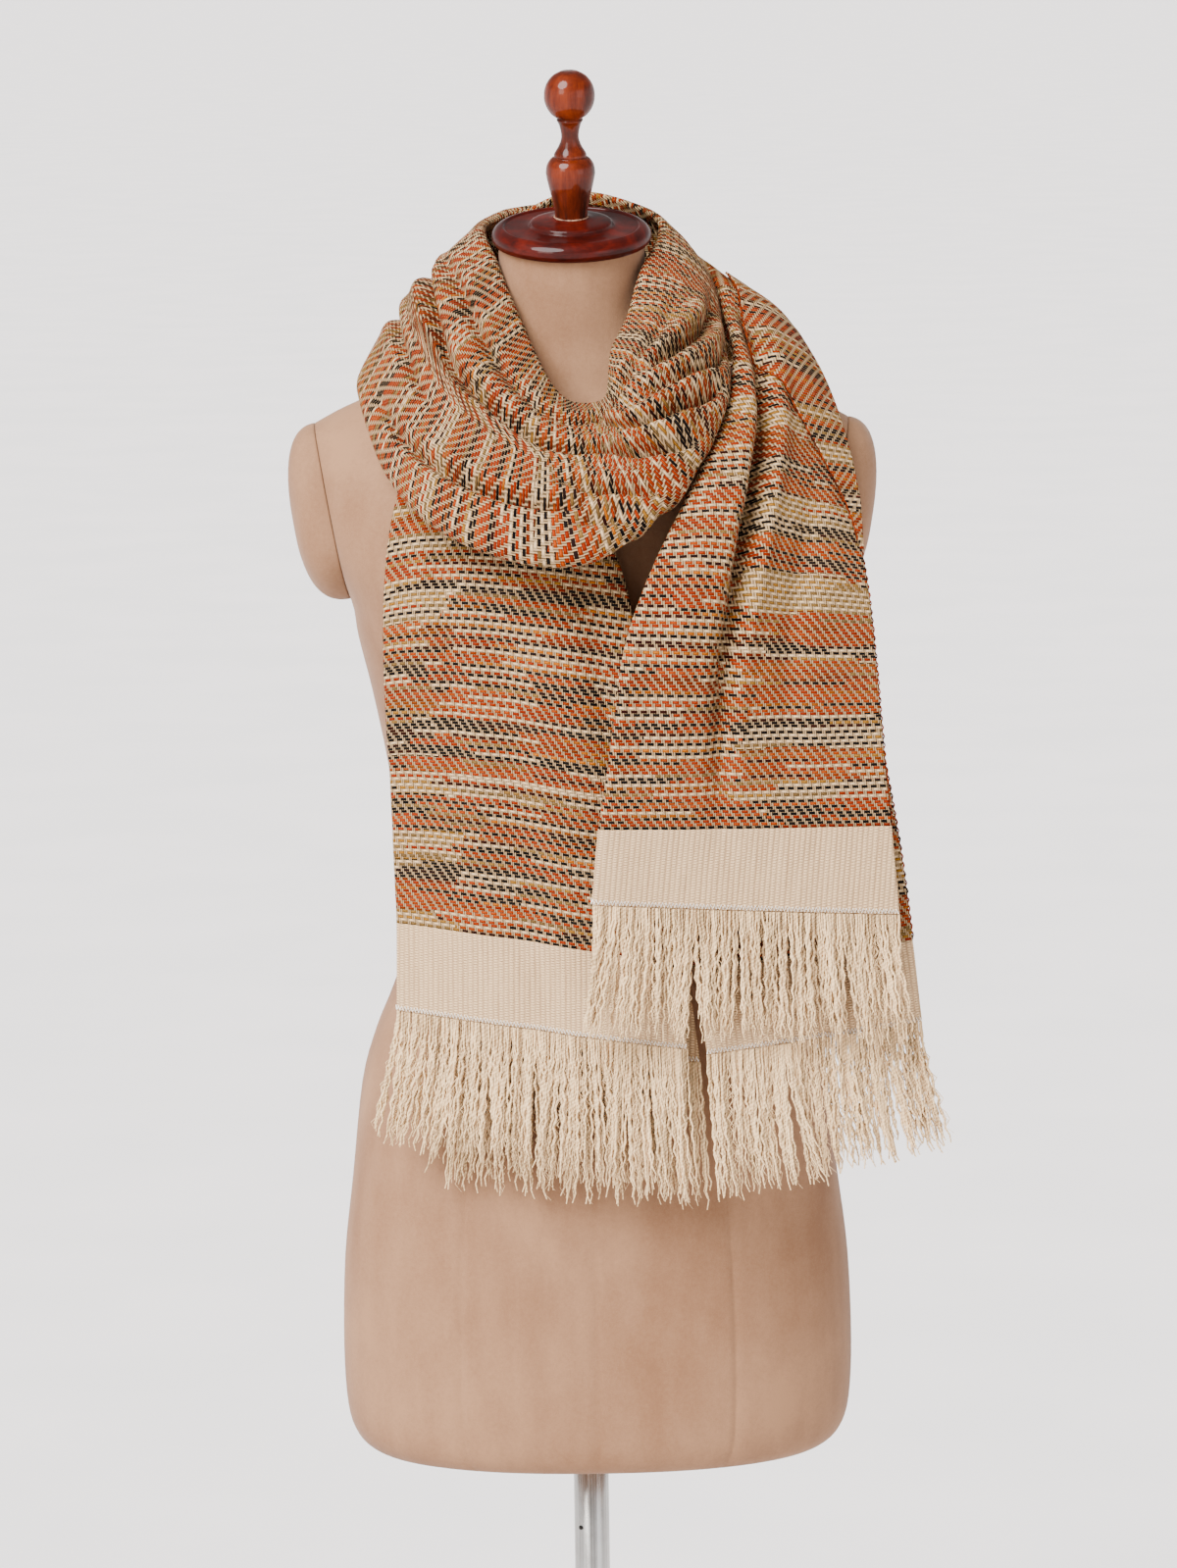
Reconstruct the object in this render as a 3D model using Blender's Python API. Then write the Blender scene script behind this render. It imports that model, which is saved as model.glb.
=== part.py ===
"""A folded handwoven shawl wound round the neck of a limbless dress form on a steel stand.

Metres, +Z up, the origin at the centre of the stand's foot. +X is the viewer's right, -Y faces the viewer.
The tables below are in millimetres.
"""

import math

import bmesh
import bpy
import numpy as np
from mathutils import Vector

MM = 0.001

# Driving sizes, in millimetres.
CLOTH_WALL = 2.0
SEAM_GAP = 0.4
FRINGE_WALL = 6.0
CAP_TILT = math.radians(12.3)
CAP_CENTRE = (-1.0, -10.8, 1405.4)
FINIAL_SEAT = 17.9
POLE_RADIUS = 11.8
UNDERSIDE = 600.0

# The near edge of the cloth is folded tighter than the far edge, by this share.
NEAR_ROLL = 0.6

# The turned-back edge: its gap to the fold it starts from, how far it lies off the cloth, and the
# least width of cloth it leaves showing.
TURNBACK_CLEARANCE = 2.0
TURNBACK_LIFT = 0.8
TURNBACK_MARGIN = 6.0

# The armhole is cut by a plane through these two points, (|x|, z); the shoulder cap domes out from
# it.
ARMHOLE_TOP = (174.5, 1290.0)
ARMHOLE_FOOT = (153.0, 1174.0)
ARMHOLE_ASIDE = 3.8
DOME_RISE = 27.0
DOME_CENTRE = 0.40
DOME_POWER = 2.5

# The dress form, one row for each level: half width, how far the front and the back reach from the
# axis, how far the section's middle is moved forwards and aside, and how square the section is (2
# is an ellipse).
TORSO_COLUMNS = ("z", "half", "front", "back", "ahead", "aside", "square")
TORSO_ROWS = (
    (600.0, 144.0, 84.0, 92.0, 0.0, 5.7, 2.3),
    (603.0, 154.0, 92.0, 101.0, 0.0, 5.7, 2.3),
    (612.0, 163.0, 99.0, 109.0, 0.0, 5.7, 2.3),
    (630.0, 168.5, 103.0, 115.0, 0.0, 5.7, 2.3),
    (670.0, 170.5, 105.0, 121.0, 0.0, 5.7, 2.3),
    (730.0, 168.5, 106.0, 126.0, 0.0, 5.6, 2.3),
    (785.0, 162.0, 107.0, 120.0, 0.0, 5.5, 2.3),
    (850.0, 154.0, 103.0, 104.0, 0.0, 5.2, 2.2),
    (885.0, 144.0, 99.0, 95.0, 0.0, 5.0, 2.2),
    (910.0, 133.5, 96.0, 89.0, 0.0, 4.9, 2.2),
    (935.0, 125.0, 92.0, 84.0, 0.0, 4.8, 2.15),
    (970.0, 122.5, 89.0, 80.0, 0.0, 4.6, 2.1),
    (1020.0, 125.0, 90.0, 80.0, 0.0, 4.4, 2.1),
    (1070.0, 132.5, 97.0, 85.0, 0.0, 4.2, 2.1),
    (1115.0, 141.0, 108.0, 92.0, 0.0, 4.0, 2.2),
    (1150.0, 149.0, 116.0, 97.0, 0.0, 3.9, 2.3),
    (1174.0, 153.0, 119.0, 100.0, 0.0, 3.8, 2.35),
    (1205.0, 167.0, 114.0, 102.0, 0.0, 3.7, 2.3),
    (1240.0, 178.0, 101.0, 103.0, 0.0, 3.7, 2.15),
    (1268.0, 183.0, 84.0, 98.0, 0.0, 3.6, 2.0),
    (1284.0, 181.0, 72.0, 90.0, 0.0, 3.4, 1.95),
    (1295.0, 164.5, 65.0, 82.0, 0.0, 3.2, 1.9),
    (1304.0, 145.0, 61.0, 75.0, 0.0, 2.8, 1.9),
    (1314.0, 119.0, 56.0, 68.0, 0.0, 2.2, 1.9),
    (1328.0, 87.0, 52.0, 60.0, 1.0, 1.4, 1.9),
    (1344.0, 63.0, 48.0, 53.0, 3.0, 0.6, 2.0),
    (1362.0, 51.0, 46.0, 48.0, 6.0, -0.2, 2.0),
    (1380.0, 48.0, 45.0, 45.5, 9.5, -0.8, 2.0),
    (1393.0, 47.5, 44.5, 44.5, 11.0, -1.0, 2.0),
)

# The cloth is one long band. Each row is a section straight across it: the near edge and the far
# edge, how far the middle bellies out from the line between them, the radius of its rolled edges,
# and how far its weft bows back along the band. The rows follow the cloth from the nape, round the
# front, round the back, and down.
BAND_COLUMNS = ("ax", "ay", "az", "bx", "by", "bz", "belly", "roll", "bow")
WRAP_ROWS = {
    "hiddenLeft": (-58, 18, 1386, -84, 24, 1348, 4, 3, 0),
    "napeLeft": (-49, 44, 1411, -70, 58, 1350, 5, 3, 0),
    "napeBack": (-2, 62, 1435, -2, 86, 1352, 6, 3, 0),
    "napeRight": (48, 42, 1425, 67, 54, 1362, 6, 3, 0),
    "cowlRise": (59, 10, 1412, 92, 12, 1364, 8, 3.5, 0),
    "cowlRightTop": (46, -38, 1391, 97, -40, 1344, 10, 5, 0),
    "cowlRight": (35, -59, 1363, 99, -96, 1318, 12, 7, 0),
    "cowlRightFront": (23, -74, 1341, 80, -142, 1285, 15, 8, 0),
    "cowlFrontRight": (19, -83, 1312, 46, -172, 1248, 17, 8, 0),
    "cowlFront": (0, -87, 1309, 6, -183, 1223, 19, 8, 0),
    "cowlFrontLeft": (-13, -81, 1318, -40, -178, 1224, 19, 8, 0),
    "cowlLeftFront": (-26, -68, 1341, -88, -150, 1240, 18, 8, 0),
    "cowlLeft": (-40, -48, 1370, -120, -104, 1264, 16, 8, 0),
    "cowlLeftTop": (-52, -26, 1397, -139, -52, 1301, 11, 7, 0),
    "cowlShoulder": (-61, 4, 1414, -143, 2, 1315, 9, 6, 0),
    "backLeft": (-58, 46, 1419, -128, 63, 1298.3, 10, 6, 0),
    "backLeftMid": (-40, 80, 1425, -84, 118, 1286, 12, 8, 0),
    "backMid": (4, 93, 1426, 4, 132, 1276, 12, 8, 0),
    "backRightMid": (48, 84, 1415, 78, 118, 1297, 10, 7, 0),
    "backRight": (82, 54, 1394, 116, 76, 1328, 6, 6, 0),
    "shoulderTop": (100, 14, 1380, 133, 20, 1344, 5, 6, 0),
    "shoulderFront": (106, -24, 1359, 144, -9, 1331, 6, 6, 0),
    "chestTop": (104, -60, 1332, 156, -34, 1309, 7, 6, 0),
    "chest": (94, -99, 1299, 167, -58, 1280, 8, 6, 0),
    "chestLow": (76, -138, 1263, 176, -82, 1246, 7, 6, 0),
    "bustTop": (58, -160, 1230, 181, -106, 1213, 6, 6, 0),
    "bust": (43, -171, 1198, 185, -123, 1184, 4, 6, 0),
    "underBust": (30, -175, 1160, 188, -134, 1150, 3, 6, 0),
    "waistHigh": (23, -176, 1116, 191, -140, 1110, 3, 6, 0),
    "waist": (17, -176, 1076, 194, -144, 1072, 3, 6, 0),
    "borderTop": (12, -176, 1046, 197, -146, 1041, 3, 6, 0),
    "hem": (7, -176, 998, 202, -148, 984, 3, 6, 0),
}
LEFT_ROWS = {
    "hidden": (-106, -70.7, 1272, 4, -98, 1270, 3, 3, 0),
    "underCowl": (-113, -86, 1256, 12, -108, 1252, 5, 4, 0),
    "cowlEdge": (-120, -96, 1228, 21, -122, 1226, 8, 5, 4),
    "bustTop": (-124, -106, 1190, 33, -136, 1184, 10, 5, 7),
    "bust": (-125, -110, 1146, 38, -147, 1134, 11, 5, 7),
    "underBust": (-124, -111, 1104, 42, -150, 1090, 12, 5, 7),
    "waistHigh": (-122, -111, 1062, 46, -150, 1046, 12, 5, 6),
    "waist": (-121, -111, 1020, 51, -150, 1002, 12, 5, 5),
    "borderTop": (-120, -111, 976, 56, -150, 956, 12, 5, 3),
    "hem": (-121, -111, 919, 66, -150, 899, 12, 5, 2),
}
RIGHT_BACK_ROWS = {
    "hidden": (62, -161.2, 1150, 178, -127.2, 1148, 3, 0, 0),
    "upper": (54, -160, 1100, 190, -130, 1098, 3, 0, 0),
    "middle": (58, -158, 1030, 202, -129, 1032, 3, 0, 0),
    "borderTop": (70, -158, 953, 211, -129, 964, 3, 0, 0),
    "hem": (78, -158, 897, 217, -126, 910, 3, 0, 0),
}
LEFT_BACK_ROWS = {
    "hidden": (-84, -107, 1090, 34, -145, 1082, 10, 0, 0),
    "middle": (-84, -102, 1030, 50, -140, 1010, 10, 0, 0),
    "borderTop": (-86, -100, 952, 66, -138, 944, 10, 0, 0),
    "hem": (-88, -100, 896, 74, -138, 888, 10, 0, 0),
}
# The edge of the right end is turned back over it: row of the band, how much is turned back, radius
# of the turn.
TURNBACK_COLUMNS = ("row", "reach", "turn")
TURNBACK_ROWS = (
    (18.0, 3.0, 1.6),
    (18.7, 24.0, 2.6),
    (19.4, 46.0, 3.4),
    (20.0, 52.0, 4.0),
    (20.6, 57.0, 4.2),
    (21.4, 56.0, 4.2),
    (22.0, 50.0, 4.2),
    (22.6, 39.0, 3.8),
    (23.2, 28.0, 3.4),
    (23.8, 19.0, 2.8),
    (24.4, 10.0, 2.2),
    (25.0, 3.0, 1.6),
)
# Each fold runs along the band: its half breadth, then (row, share of the band's width, depth)
# along it, all in millimetres. It is a ridge where the depth is negative.
WRAP_FOLDS = {
    "neckCrease": (
        8.0,
        (
            (5.0, 0.35, 0.0), (6.5, 0.30, 5.0), (8.5, 0.24, 5.0), (10.5, 0.24, 3.0), (13.0, 0.22, 5.0),
            (14.5, 0.24, 0.0),
        ),
    ),
    "midCrease": (
        11.0,
        (
            (5.0, 0.80, 0.0), (7.0, 0.70, 7.0), (9.0, 0.46, 7.0), (11.0, 0.42, 7.0), (13.0, 0.40, 9.0),
            (14.0, 0.34, 11.0), (16.0, 0.36, 8.0), (18.0, 0.45, 6.0), (20.0, 0.50, 0.0),
        ),
    ),
    "lowCrease": (
        10.0,
        (
            (7.0, 1.0, 0.0), (8.0, 0.84, 5.0), (10.0, 0.77, 6.0), (11.5, 0.80, 5.0), (13.0, 0.84, 0.0),
        ),
    ),
    "backCrease": (
        12.0,
        (
            (14.5, 0.70, 0.0), (16.0, 0.72, 6.0), (18.0, 0.74, 6.0), (19.5, 0.75, 0.0),
        ),
    ),
    "pleatRidge": (
        17.0,
        (
            (21.0, 0.05, 0.0), (22.0, 0.08, -4.0), (24.0, 0.14, -9.0), (26.0, 0.20, -10.0),
            (28.0, 0.22, -6.0), (30.0, 0.25, -1.0), (31.0, 0.25, 0.0),
        ),
    ),
    "pleatValley": (
        12.0,
        (
            (20.5, 0.16, 0.0), (22.0, 0.22, 5.0), (24.0, 0.34, 8.0), (26.0, 0.39, 7.0),
            (28.0, 0.39, 4.0), (30.0, 0.40, 0.0),
        ),
    ),
}
LEFT_FOLDS = {
    "sideTrough": (20.0, ((2.0, 0.45, 0.0), (4.0, 0.50, 4.0), (7.0, 0.50, 4.0), (9.0, 0.50, 3.0))),
    "innerTrough": (11.0, ((2.0, 0.84, 2.0), (4.0, 0.86, 5.0), (6.0, 0.90, 3.0), (8.0, 0.92, 0.0))),
}

# The fringe under each hem: how far it falls at the near and the far edge, and how far it spreads
# aside there.
FRINGE_COLUMNS = ("nearFall", "farFall", "nearSpread", "farSpread")
FRINGES = {
    "right": (81.0, 79.0, -6.0, 8.0),
    "right_back": (92.0, 78.0, 8.0, 14.0),
    "left": (82.0, 96.0, -12.0, 6.0),
    "left_back": (90.0, 90.0, -6.0, 4.0),
}

# The seams lie between two rows of a table, and this share of a row is left open there.
SEAM_ROWS = 0.012
# How many points the wrap's sections have across them.
WRAP_ACROSS = 20

# Turned pieces, as (radius, height), bottom to top.
CAP_PROFILE = (
    (45.0, 0.0), (49.5, 0.6), (51.6, 3.2), (52.0, 5.6), (51.2, 8.4), (48.8, 11.0), (45.8, 12.3),
    (44.4, 12.2), (43.4, 11.3), (41.5, 11.4), (34.0, 11.2), (28.4, 11.8), (27.2, 13.0), (26.2, 14.8),
    (23.0, 16.0), (15.0, 16.8), (11.6, 17.5),
)
FINIAL_PROFILE = (
    (10.4, 0.0), (11.1, 5.9), (12.8, 14.2), (14.7, 21.9), (15.8, 27.5), (16.0, 30.4), (15.2, 34.7),
    (13.0, 38.2), (11.0, 39.5), (10.3, 40.1), (10.6, 41.1), (10.0, 42.8), (7.7, 46.6), (6.2, 50.4),
    (5.7, 53.6), (6.1, 57.4), (7.2, 61.6), (8.4, 64.0), (8.4, 64.8), (8.0, 65.5), (9.2, 66.3),
    (12.0, 68.5), (14.4, 71.9), (16.0, 76.0), (16.5, 80.1), (16.0, 84.6), (14.2, 89.1), (10.7, 93.2),
    (6.0, 95.9),
)
FLANGE_PROFILE = ((13.0, 0.0), (16.5, 1.4), (20.5, 4.2), (21.0, 5.6))
SOCKET_PROFILE = ((27.0, 0.0), (26.5, 2.0), (22.5, 5.0), (21.5, 24.0), (20.0, 27.0))
BASE_PROFILE = (
    (160.0, 0.0), (168.0, 1.5), (170.0, 4.0), (170.0, 9.0), (167.0, 12.5), (158.0, 14.5), (60.0, 16.0),
)


def readRows(table, columns):
    """A table of rows as one array for each named column."""
    rows = table.values() if isinstance(table, dict) else table
    return dict(zip(columns, np.array(list(rows), float).T))


def readRow(row, columns):
    """One row of a table as a value for each named column."""
    return dict(zip(columns, row))


def smooth(knots, values, at):
    """A smooth curve through values at knots: cubic, with each knot's slope taken from its neighbours."""
    knots, values, at = (np.asarray(x, float) for x in (knots, values, at))
    slopes = np.gradient(values, knots)
    i = np.clip(np.searchsorted(knots, at, side="right") - 1, 0, len(knots) - 2)
    span = knots[i + 1] - knots[i]
    f = (at - knots[i]) / span
    return (
        (2 * f**3 - 3 * f**2 + 1) * values[i]
        + (f**3 - 2 * f**2 + f) * span * slopes[i]
        + (3 * f**2 - 2 * f**3) * values[i + 1]
        + (f**3 - f**2) * span * slopes[i + 1]
    )


def foldDepth(folds, row, share, width):
    """How deep the folds press the cloth in at a share of the band's width, in a section that wide."""
    depth = np.zeros_like(share)
    for reach, knots in folds.values():
        rows, shares, depths = np.array(knots).T
        if rows[0] <= row <= rows[-1]:
            away = (share - smooth(rows, shares, row)) * width
            depth += float(smooth(rows, depths, row)) * np.exp(-((away / reach) ** 2))
    return depth


def bandFrame(table, row):
    """A section of the band: its near edge, its width, and the directions across, out of and along it."""
    columns = readRows(table, BAND_COLUMNS)
    index = np.arange(len(columns["ax"]), dtype=float)

    def edge(which, at):
        return np.array([float(smooth(index, columns[which + c], at)) for c in "xyz"])

    near, far = edge("a", row), edge("b", row)
    ahead, behind = min(row + 0.05, index[-1]), max(row - 0.05, index[0])
    onward = edge("a", ahead) + edge("b", ahead) - edge("a", behind) - edge("b", behind)
    onward /= np.linalg.norm(onward)
    across = far - near
    width = float(np.linalg.norm(across))
    across /= width
    outward = np.cross(onward, across)
    outward /= np.linalg.norm(outward)
    rest = {c: float(smooth(index, columns[c], row)) for c in ("belly", "roll", "bow")}
    return dict(near=near, width=width, across=across, outward=outward, onward=onward, **rest)


def surfaceRise(frame, row, share, folds):
    """How far the cloth stands out of the line between its edges."""
    return frame["belly"] * (1 - (2 * share - 1) ** 2) - foldDepth(folds or {}, row, share, frame["width"])


def sectionProfile(width, rolls, tucks, count, ends):
    """Points across the band, along and out of its section: a front whose rolled edges turn behind it."""
    near, far = rolls[0] * ends[0], rolls[1] * ends[1]
    lengths = [tucks[0] * ends[0], math.pi * near, width - near - far, math.pi * far, tucks[1] * ends[1]]
    stops = np.cumsum([0.0] + lengths)
    along, out = np.zeros(count), np.zeros(count)
    for k, d in enumerate(np.linspace(0.0, stops[-1], count)):
        if d < stops[1]:
            along[k], out[k] = near + stops[1] - d, -2 * near
        elif d < stops[2]:
            turn = (d - stops[1]) / near
            along[k], out[k] = near - near * math.sin(turn), -near - near * math.cos(turn)
        elif d <= stops[3]:
            along[k], out[k] = near + d - stops[2], 0.0
        elif d <= stops[4]:
            turn = (d - stops[3]) / far
            along[k], out[k] = width - far + far * math.sin(turn), -far + far * math.cos(turn)
        else:
            along[k], out[k] = width - far - (d - stops[4]), -2 * far
    return along, out


def bandPoints(table, first, last, rowCount, acrossCount, folds=None, ends=(0, 0), tucks=(8.0, 18.0)):
    """The cloth's middle surface between two rows of a table, as an array of points in metres.

    ends is 1 for an edge that is rolled under and 0 for a plain one. tucks are how far each roll runs on
    behind the cloth.
    """
    points = np.zeros((rowCount, acrossCount, 3))
    for k, row in enumerate(np.linspace(first, last, rowCount)):
        frame = bandFrame(table, row)
        rolls = (NEAR_ROLL * frame["roll"], frame["roll"])
        along, out = sectionProfile(frame["width"], rolls, tucks, acrossCount, ends)
        share = along / frame["width"]
        out = out + surfaceRise(frame, row, share, folds)
        bow = frame["bow"] * np.sin(math.pi * np.clip(share, 0, 1) ** 0.7)
        points[k] = (
            frame["near"]
            + np.outer(along, frame["across"])
            + np.outer(out, frame["outward"])
            - np.outer(bow, frame["onward"])
        )
    return points * MM


def turnbackPoints(rowCount, acrossCount):
    """The edge of the right end, turned back over the band from its far edge."""
    columns = readRows(TURNBACK_ROWS, TURNBACK_COLUMNS)
    points = np.zeros((rowCount, acrossCount, 3))
    rows = np.linspace(columns["row"][0], columns["row"][-1], rowCount)
    for k, row in enumerate(rows):
        frame = bandFrame(WRAP_ROWS, row)
        reach, turn = (float(smooth(columns["row"], columns[c], row)) for c in ("reach", "turn"))
        reach = min(reach, frame["width"] - TURNBACK_MARGIN)
        curve = math.pi * turn
        for n, d in enumerate(np.linspace(0.0, curve + reach, acrossCount)):
            if d < curve:
                along = frame["width"] + TURNBACK_CLEARANCE + turn * math.sin(d / turn)
                out = turn - turn * math.cos(d / turn) + TURNBACK_LIFT * d / curve
            else:
                along = frame["width"] + TURNBACK_CLEARANCE - (d - curve)
                out = 2 * turn + TURNBACK_LIFT
            share = np.array([min(along / frame["width"], 1.0)])
            out += max(float(surfaceRise(frame, row, share, WRAP_FOLDS)[0]), 0.0)
            points[k, n] = frame["near"] + along * frame["across"] + out * frame["outward"]
    return points * MM


def newObject(name, mesh, material):
    made = bpy.data.objects.new(name, mesh)
    bpy.context.scene.collection.objects.link(made)
    mesh.materials.append(material)
    return made


def clothSheet(name, points, material, wall=CLOTH_WALL):
    """A sheet through a grid of points, given its wall by a Solidify modifier."""
    rowCount, acrossCount = points.shape[:2]
    sheet = bmesh.new()
    bmesh.ops.create_grid(sheet, x_segments=acrossCount - 1, y_segments=rowCount - 1, size=0.5)
    for v in sheet.verts:
        v.co = points[round((v.co.y + 0.5) * (rowCount - 1)), round((v.co.x + 0.5) * (acrossCount - 1))]
    mesh = bpy.data.meshes.new(name)
    sheet.to_mesh(mesh)
    sheet.free()
    made = newObject(name, mesh, material)
    mesh.shade_smooth()
    thicken = made.modifiers.new("Wall", "SOLIDIFY")
    thicken.thickness = wall * MM
    thicken.offset = 0.0
    thicken.use_even_offset = False
    return made


def fringeSlab(side, hem, material):
    """The reach of the fringe: a slab that hangs from the last row of a band's points."""
    size = readRow(FRINGES[side], FRINGE_COLUMNS)
    falls = np.linspace(size["nearFall"], size["farFall"], len(hem)) * MM
    spreads = np.linspace(size["nearSpread"], size["farSpread"], len(hem)) * MM
    start = SEAM_GAP * MM
    shares = np.linspace(0.0, 1.0, 5)
    grid = np.zeros((len(shares), len(hem), 3))
    for k, share in enumerate(shares):
        grid[k] = hem
        grid[k, :, 2] -= start + share * (falls - start)
        grid[k, :, 0] += spreads * share**1.5
    return clothSheet(side + "_fringe", grid, material, FRINGE_WALL)


def turned(name, profile, material, centre, tilt=0.0, segments=40):
    """A turned piece: its profile is spun round an axis that leans forwards from centre."""
    lathe = bmesh.new()
    ring = [lathe.verts.new((r * MM, 0.0, z * MM)) for r, z in profile]
    top = lathe.verts.new((0.0, 0.0, profile[-1][1] * MM))
    foot = lathe.verts.new((0.0, 0.0, profile[0][1] * MM))
    line = [foot, *ring, top]
    edges = [lathe.edges.new(pair) for pair in zip(line, line[1:])]
    bmesh.ops.spin(
        lathe,
        geom=line + edges,
        cent=(0, 0, 0),
        axis=(0, 0, 1),
        angle=2 * math.pi,
        steps=segments,
        use_merge=True,
    )
    bmesh.ops.remove_doubles(lathe, verts=lathe.verts, dist=1e-6)
    bmesh.ops.recalc_face_normals(lathe, faces=lathe.faces)
    mesh = bpy.data.meshes.new(name)
    lathe.to_mesh(mesh)
    lathe.free()
    made = newObject(name, mesh, material)
    mesh.shade_smooth()
    mesh.set_sharp_from_angle(angle=math.radians(40))
    made.location = [c * MM for c in centre]
    made.rotation_euler = (tilt, 0.0, 0.0)
    return made


def superRing(z, half, front, back, ahead, aside, square, count):
    """One level of the torso: a rounded ring, deeper at the back or the front as its row says."""
    ring = []
    for k in range(count):
        turn = 2 * math.pi * k / count
        c, s = math.cos(turn), math.sin(turn)
        x = half * math.copysign(abs(c) ** (2 / square), c) + aside
        depth = back if s > 0 else front
        y = depth * math.copysign(abs(s) ** (2 / square), s) - ahead
        ring.append((x * MM, y * MM, z * MM))
    return ring


def dressForm(material, count=56):
    """The torso, lofted through its rows and cut at the armholes, and a domed cap on each cut."""
    torso = bmesh.new()
    loops = []
    for row in TORSO_ROWS:
        ring = superRing(**readRow(row, TORSO_COLUMNS), count=count)
        loops.append([torso.verts.new(p) for p in ring])
    for v in loops[-1]:
        v.co.z = (CAP_CENTRE[2] - SEAM_GAP) * MM + (v.co.y - CAP_CENTRE[1] * MM) * math.tan(CAP_TILT)
    for low, high in zip(loops, loops[1:]):
        for k in range(count):
            n = (k + 1) % count
            torso.faces.new((low[k], low[n], high[n], high[k]))
    torso.faces.new(list(reversed(loops[0])))
    torso.faces.new(loops[-1])
    bmesh.ops.recalc_face_normals(torso, faces=torso.faces)
    for side, name in ((-1, "shoulder_cap_left"), (1, "shoulder_cap_right")):
        top = Vector((side * ARMHOLE_TOP[0] + ARMHOLE_ASIDE, 0.0, ARMHOLE_TOP[1])) * MM
        foot = Vector((side * ARMHOLE_FOOT[0] + ARMHOLE_ASIDE, 0.0, ARMHOLE_FOOT[1])) * MM
        normal = Vector((side * (top.z - foot.z), 0.0, side * (foot.x - top.x))).normalized()
        upper = [f for f in torso.faces if min(v.co.z for v in f.verts) > foot.z - 1e-5]
        corners = list({v for f in upper for v in f.verts})
        sides = list({e for f in upper for e in f.edges})
        bmesh.ops.bisect_plane(
            torso,
            geom=corners + sides + upper,
            plane_co=foot,
            plane_no=normal,
            clear_outer=True,
            dist=1e-5,
        )
        rim = [e for e in torso.edges if e.is_boundary]
        bmesh.ops.remove_doubles(torso, verts=list({v for e in rim for v in e.verts}), dist=0.0015)
        rim = [e for e in torso.edges if e.is_boundary]
        outline = loopOrder(rim)
        bmesh.ops.contextual_create(torso, geom=rim)
        shoulderCap(name, outline, top, foot, normal, material)
    bmesh.ops.triangulate(torso, faces=[f for f in torso.faces if len(f.verts) > 4])
    bmesh.ops.recalc_face_normals(torso, faces=torso.faces)
    mesh = bpy.data.meshes.new("torso")
    torso.to_mesh(mesh)
    torso.free()
    made = newObject("torso", mesh, material)
    mesh.shade_smooth()
    mesh.set_sharp_from_angle(angle=math.radians(50))
    return made


def loopOrder(edges):
    """The corners of a closed loop of edges, in order."""
    start = edges[0].verts[0]
    order, last, at = [start.co.copy()], edges[0], edges[0].verts[1]
    while at != start:
        order.append(at.co.copy())
        last = next(e for e in at.link_edges if e in edges and e != last)
        at = last.other_vert(at)
    return order


def shoulderCap(name, outline, top, foot, normal, material):
    """A cap that fits one armhole: rings of its outline that close in as they rise off the cut."""
    cap = bmesh.new()
    centre = foot.lerp(top, DOME_CENTRE)
    rings = []
    for height in (0.0, 0.25, 0.5, 0.72, 0.87, 0.96, 0.995):
        size = (1 - height**DOME_POWER) ** (1 / DOME_POWER)
        lift = normal * (height * DOME_RISE + SEAM_GAP) * MM
        rings.append([cap.verts.new(centre + (p - centre) * size + lift) for p in outline])
    for low, high in zip(rings, rings[1:]):
        for k in range(len(outline)):
            n = (k + 1) % len(outline)
            cap.faces.new((low[k], low[n], high[n], high[k]))
    cap.faces.new(list(reversed(rings[0])))
    cap.faces.new(rings[-1])
    bmesh.ops.triangulate(cap, faces=[f for f in cap.faces if len(f.verts) > 4])
    bmesh.ops.recalc_face_normals(cap, faces=cap.faces)
    mesh = bpy.data.meshes.new(name)
    cap.to_mesh(mesh)
    cap.free()
    newObject(name, mesh, material)
    mesh.shade_smooth()
    mesh.set_sharp_from_angle(angle=math.radians(50))


def plainMaterial(name, colour, roughness, metallic=0.0):
    made = bpy.data.materials.new(name)
    made.use_nodes = True
    shader = made.node_tree.nodes["Principled BSDF"]
    shader.inputs["Base Color"].default_value = (*colour, 1.0)
    shader.inputs["Roughness"].default_value = roughness
    shader.inputs["Metallic"].default_value = metallic
    return made


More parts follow.
